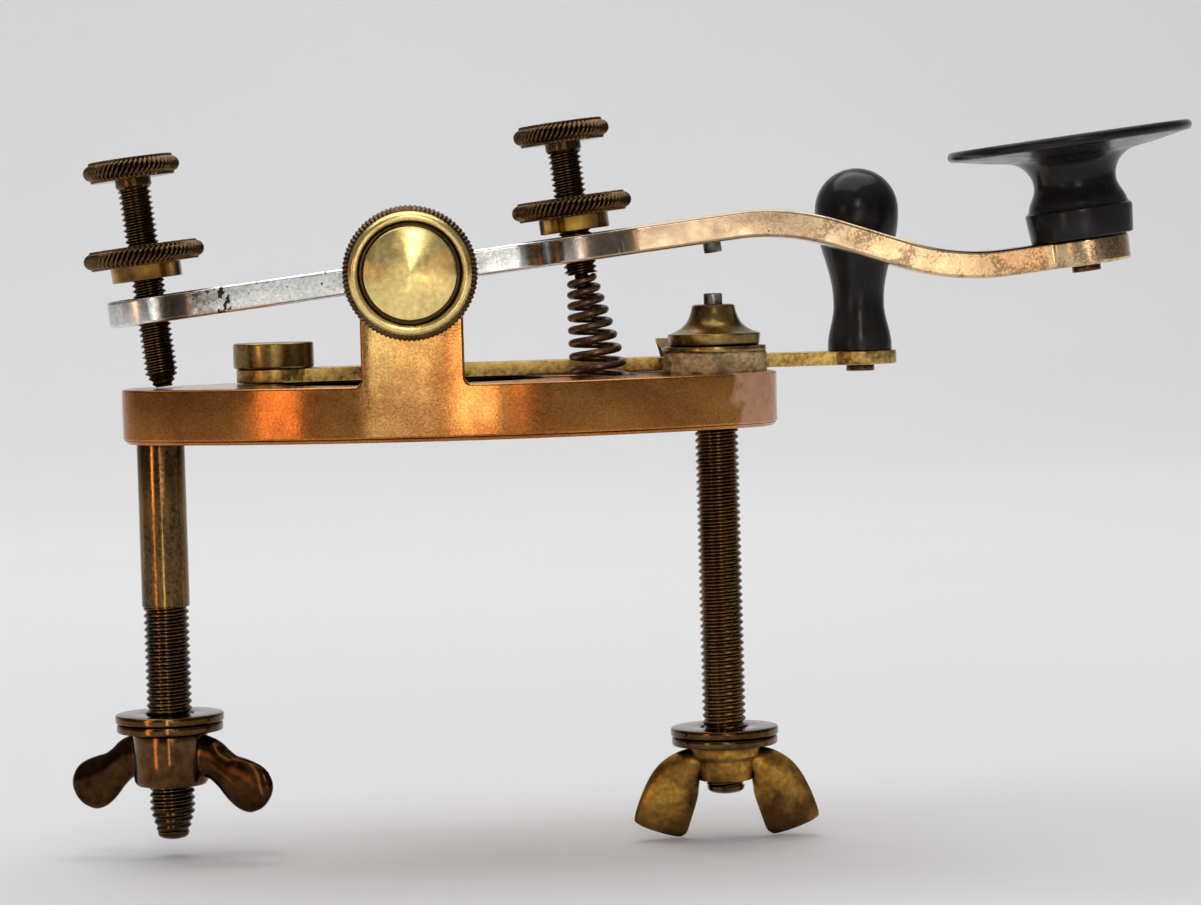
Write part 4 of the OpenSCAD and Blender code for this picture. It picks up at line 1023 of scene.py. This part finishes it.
class TELEGRAPH_KEY_OT_spring(bpy.types.Operator):
    """Wind the conical spring between the frame and the lever"""

    bl_idname = "telegraph_key.spring"
    bl_label = "Lever spring"

    turns: bpy.props.FloatProperty(name="Turns", description="Turns of the spring", default=8.5, min=3)
    top_pitch: length("Top pitch", "Rise of the topmost turn", 1.45)
    foot_height: length("Foot height", "Height of the lowest turn's middle above the table", 6.575)
    foot_shift: length("Foot shift", "Distance of the foot in front of the screw's axis", 0.7)
    slack: length("Slack", "Height of the screw's shoulder above the top turn's middle", 0.575)
    reach: length("Reach", "Distance of the screw's shoulder below the lever's middle plane", 3.75)
    STEPS = 24  # sections in one turn

    def execute(self, context):
        sizes = context.scene.telegraph_key_sizes
        wire, turns, top_pitch = sizes.wire / MM, self.turns, self.top_pitch / MM
        screw = centred("spring_screw", LEVER)[0]
        top = screw @ Vector((0, 0, -(self.reach + self.slack) / MM))
        rise = top.z - self.foot_height / MM
        foot = top + Vector((rise * math.tan(REST_TILT) + self.foot_shift / MM, 0, -rise))
        growth = 2 * rise / turns - 2 * top_pitch
        points = []
        for i in range(round(turns * self.STEPS) + 1):
            turn = i / self.STEPS
            share = turn / turns
            drop = top_pitch * turn + growth * turn * share / 2
            width = sizes.spring_top + (sizes.spring_foot - sizes.spring_top) * share
            radius = width / MM / 2 - wire / 2
            tilt = REST_TILT * (1 - share)
            angle = -2 * math.pi * turn
            across = radius * math.cos(angle)
            out = Vector((across * math.cos(tilt), radius * math.sin(angle), across * math.sin(tilt)))
            points.append(top.lerp(foot, drop / rise) + out)
        up, half = Vector((0, 0, 1)), wire / 2
        rows = [section(point, along, up, half, half) for point, along in zip(points, headings(points))]
        coil = add_piece("wound_spring", [loft(rows, 12)], STANDING, None, "lever_spring", "bronze_wire", 60)
        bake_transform(coil)
        return {"FINISHED"}


class TELEGRAPH_KEY_OT_knobs(bpy.types.Operator):
    """Turn the wide finger knob and the closer's pear-shaped knob, with their screws"""

    bl_idname = "telegraph_key.knobs"
    bl_label = "Knobs"

    screw_edge: length("Screw edge", "Rounding of the knob screws' edges", 0.12)

    def execute(self, context):
        place, low, _, rim = centred("key_knob", LEVER)
        # From the foot up: the collar, the waist, the disc's underside and rim, and its dished top
        profile = [
            (0, 0), (7.25, 0), (7.42, 0.15), (7.8, 3.9), (7.72, 4.2), (7.35, 4.45),
            *ease((7.2, 4.55), (6.0, 8.1), True, 12)[1:], *arc((9.95, 8.15), 3.95, 178, 100, 16),
            (12.5, 12.55), (16.4, 13.3), *arc((rim - 0.75, 14.15), 0.75, -75, 80, 10),
            *ease((rim - 1.3, 14.86), (0, 14.35), False, 14),
        ]
        disc = lathe([(r, low + z) for r, z in profile], 16)
        add_piece("finger_knob", [disc], place, "lever", "key_knob", "hard_rubber", 30)
        place, low, high, rim = centred("closer_knob", STANDING)
        crown = high - rim
        # From the foot up: the flare, the waist, the pear's flank and its round crown
        profile = [
            (0, low), (4.6, low), (4.75, low + 0.15), *ease((4.75, low + 0.7), (3.77, low + 6.8), True),
            *ease((3.77, low + 7.4), (rim, crown - 0.4), True)[1:], *arc((0, crown), rim, 2, 90, 20),
        ]
        add_piece("pear_knob", [lathe(profile)], place, "closer", "closer_knob", "hard_rubber", 40)
        add_softened("finger_knob_screw", "lever", "knob_screw", "tarnished_brass", self.screw_edge)
        add_softened("pear_knob_screw", "closer", "closer_knob_screw", "tarnished_brass", self.screw_edge)
        return {"FINISHED"}


class TELEGRAPH_KEY_OT_closer(bpy.types.Operator):
    """Dress the circuit closer's strip and its slotted pivot screw"""

    bl_idname = "telegraph_key.closer"
    bl_label = "Circuit closer"

    edge: length("Edge", "Rounding of the strip's edges", 0.22)
    screw_edge: length("Screw edge", "Rounding of the pivot screw's edges", 0.3)

    def execute(self, context):
        add_softened("closer_strip", "closer", "closer_lever", "rough_brass", self.edge)
        add_softened("closer_screw", "frame", "closer_pivot_screw", "olive_brass", self.screw_edge, 3)
        return {"FINISHED"}


class TELEGRAPH_KEY_OT_stage(bpy.types.Operator):
    """Set the pale floor with its backdrop, the soft lights and the camera"""

    bl_idname = "telegraph_key.stage"
    bl_label = "Stage"

    reach: length("Reach", "Half width of the floor", 4000)
    wall: length("Wall", "Distance of the backdrop behind the key", 1700)
    sweep: length("Sweep", "Radius of the curve between the floor and the backdrop", 700)
    gap: length("Gap", "Distance of the floor below the key", 0.2)

    # Each soft box: place, the point it faces, width and height, all in metres, power in watts, and colour
    LAMPS = {
        "overhead_box": ((-0.1, 0.1, 1.2), (0, 0, 0), (1.5, 1.5), 11.8, (1.0, 0.99, 0.98)),
        "key_box": ((0.04, -0.95, 0.34), (0, 0, 0.02), (0.16, 0.3), 0.9, (1.0, 0.97, 0.93)),
        "front_box": ((0.09, -0.95, -0.025), (0.09, 0, -0.025), (0.19, 0.06), 0.16, (1.0, 0.94, 0.84)),
        "lever_box": ((0.13, -0.95, 0.05), (0.13, 0, 0.05), (0.22, 0.08), 0.034, (1.0, 0.95, 0.88)),
        "rear_card": ((-0.075, -0.95, 0.02), (-0.075, 0, 0.02), (0.09, 0.08), 0.03, (1.0, 0.98, 0.95)),
        "left_strip": ((-0.62, -0.70, 0.08), (0, 0, 0.08), (0.16, 0.27), 0.36, (1.0, 0.55, 0.28)),
        "right_strip": ((0.28, -0.95, 0.08), (0.1, 0, 0.08), (0.05, 0.27), 0.09, (1.0, 0.6, 0.35)),
        "upright_card": ((-0.195, -0.95, 0.0), (-0.007, 0, 0.0), (0.27, 0.09), 0.285, (0.5, 0.8, 1.0)),
        "leg_glow": (
            (-0.067, -0.0285, -0.022), (-0.039, 0, -0.022), (0.0048, 0.075), 0.007, (1.0, 0.5, 0.2)
        ),
        "rear_glint": (
            (-0.0431, -0.0398, -0.022), (-0.039, 0, -0.022), (0.0027, 0.075), 0.0036, (1.0, 0.92, 0.7)
        ),
        "wall_box": ((0.0, 0.8, 1.4), (0, 1.5, 0.2), (2.0, 0.8), 8, (0.98, 0.99, 1.0)),
    }
    # Boxes that are there for some metal to mirror, and the pieces that they leave out or light alone
    LINKS = {
        "not_lit_by_low_cards": (
            ("front_box", "lever_box", "rear_card", "left_strip", "right_strip"), "EXCLUDE", ("pale_sweep",)
        ),
        "lit_by_rear_cards": (
            ("leg_glow", "rear_glint"), "INCLUDE",
            ("rear_threaded_leg", "rear_clamp_washers", "rear_lobed_wing_nut"),
        ),
        "lit_by_upright_card": (("upright_card",), "INCLUDE", ("oval_frame",)),
    }
    SKY = 0.3  # strength of the studio's even light

    # The photograph's camera: focal length and width in pixels, turns in degrees, and in millimetres the
    # middle of its picture, how far off it stands and the width of its sensor
    FOCAL, PHOTO_WIDTH = 4000, 1201
    YAW, PITCH, ROLL = 2.58, 2.87, 1.615
    TARGET, DISTANCE, SENSOR = (21.47, 0, -3.3), 580, 36

    def lay_floor(self, collection):
        """The pale floor, curved up into a backdrop."""
        level = SOLID_BOX[0].z - self.gap
        bm = bmesh.new()
        curve = arc((self.wall - self.sweep, level + self.sweep), self.sweep, 270, 360, 24)
        run = [(-self.reach, level), *curve, (self.wall, level + self.reach)]
        verts = [bm.verts.new((-self.reach, y, z)) for y, z in run]
        edges = [bm.edges.new(pair) for pair in zip(verts, verts[1:])]
        grown = bmesh.ops.extrude_edge_only(bm, edges=edges)["geom"]
        bmesh.ops.translate(bm, vec=(2 * self.reach, 0, 0), verts=vertices(grown))
        bmesh.ops.recalc_face_normals(bm, faces=bm.faces)
        for face in bm.faces:
            face.smooth = True
        mesh = bpy.data.meshes.new("pale_sweep")
        bm.to_mesh(mesh)
        bm.free()
        mesh.materials.append(finished("pale_floor"))
        sweep = bpy.data.objects.new("pale_sweep", mesh)
        collection.objects.link(sweep)

    def hang_lamps(self, collection):
        """The soft boxes, each facing its point, and what some of them light."""
        for name, (place, aim, size, power, colour) in self.LAMPS.items():
            light = bpy.data.lights.new(name, "AREA")
            light.shape = "RECTANGLE"
            light.size, light.size_y = size
            light.energy = power
            light.color = colour
            box = bpy.data.objects.new(name, light)
            box.location = place
            box.rotation_euler = (Vector(aim) - Vector(place)).to_track_quat("-Z", "Y").to_euler()
            box.visible_camera = False
            collection.objects.link(box)
        for group, (lamps, state, pieces) in self.LINKS.items():
            receivers = bpy.data.collections.new(group)
            for name in pieces:
                receivers.objects.link(bpy.data.objects[name])
            for held in receivers.collection_objects:
                held.light_linking.link_state = state
            for name in lamps:
                bpy.data.objects[name].light_linking.receiver_collection = receivers

    def set_sky(self, scene):
        """Even light, brighter from above."""
        world = bpy.data.worlds.new("studio")
        world.use_nodes = True
        tree = world.node_tree
        upward = coordinate(add(tree, "TexCoord").outputs["Generated"], "Z")
        glow = mixed(remap(upward, -0.1, 0.8), tinted("low_sky"), tinted("high_sky"))
        feed(tree.nodes["Background"], {"Color": glow, "Strength": self.SKY})
        scene.world = world
        scene.view_settings.view_transform = "Standard"

    def set_camera(self, scene):
        """The camera at the photograph's angle."""
        sight = bpy.data.cameras.new("camera")
        sight.sensor_width = self.SENSOR
        sight.lens = self.SENSOR * self.FOCAL / self.PHOTO_WIDTH
        sight.clip_start = 0.01
        yaw, pitch, roll = (math.radians(turn) for turn in (self.YAW, self.PITCH, self.ROLL))
        level = math.cos(pitch)
        forward = Vector((math.sin(yaw) * level, math.cos(yaw) * level, -math.sin(pitch)))
        right = forward.cross(Vector((0, 0, 1))).normalized()
        up = right.cross(forward)
        cos, sin = math.cos(roll), math.sin(roll)
        turned = Matrix((right * cos - up * sin, right * sin + up * cos, -forward)).transposed()
        place = Vector(self.TARGET) * MM - forward * self.DISTANCE * MM
        camera = bpy.data.objects.new("camera", sight)
        camera.matrix_world = Matrix.Translation(place) @ turned.to_4x4()
        scene.collection.objects.link(camera)
        scene.camera = camera

    def execute(self, context):
        self.lay_floor(context.scene.collection)
        self.hang_lamps(context.scene.collection)
        self.set_sky(context.scene)
        self.set_camera(context.scene)
        return {"FINISHED"}


OPERATORS = (
    TELEGRAPH_KEY_OT_oval_frame,
    TELEGRAPH_KEY_OT_legs,
    TELEGRAPH_KEY_OT_washers,
    TELEGRAPH_KEY_OT_wing_nuts,
    TELEGRAPH_KEY_OT_anvil,
    TELEGRAPH_KEY_OT_trunnion,
    TELEGRAPH_KEY_OT_lever,
    TELEGRAPH_KEY_OT_thumbscrews,
    TELEGRAPH_KEY_OT_spring,
    TELEGRAPH_KEY_OT_knobs,
    TELEGRAPH_KEY_OT_closer,
    TELEGRAPH_KEY_OT_stage,
)


class TELEGRAPH_KEY_PT_pieces(bpy.types.Panel):
    """Buttons that build the key's pieces, with its sizes and colours"""

    bl_idname = "TELEGRAPH_KEY_PT_pieces"
    bl_label = "Telegraph Key"
    bl_space_type = "VIEW_3D"
    bl_region_type = "UI"
    bl_category = "Telegraph Key"

    def draw(self, context):
        for group in (context.scene.telegraph_key_sizes, context.scene.telegraph_key_colours):
            box = self.layout.box()
            for name in group.__annotations__:
                box.prop(group, name)
        for kind in OPERATORS:
            self.layout.operator(kind.bl_idname)


CLASSES = (KeySizes, KeyColours, *OPERATORS, TELEGRAPH_KEY_PT_pieces)


def register():
    for kind in CLASSES:
        bpy.utils.register_class(kind)
    bpy.types.Scene.telegraph_key_sizes = bpy.props.PointerProperty(type=KeySizes)
    bpy.types.Scene.telegraph_key_colours = bpy.props.PointerProperty(type=KeyColours)


def unregister():
    del bpy.types.Scene.telegraph_key_colours
    del bpy.types.Scene.telegraph_key_sizes
    for kind in reversed(CLASSES):
        bpy.utils.unregister_class(kind)


def main():
    """Build every piece."""
    register()
    for kind in OPERATORS:
        group, name = kind.bl_idname.split(".")
        getattr(getattr(bpy.ops, group), name)()


if __name__ == "__main__":
    main()
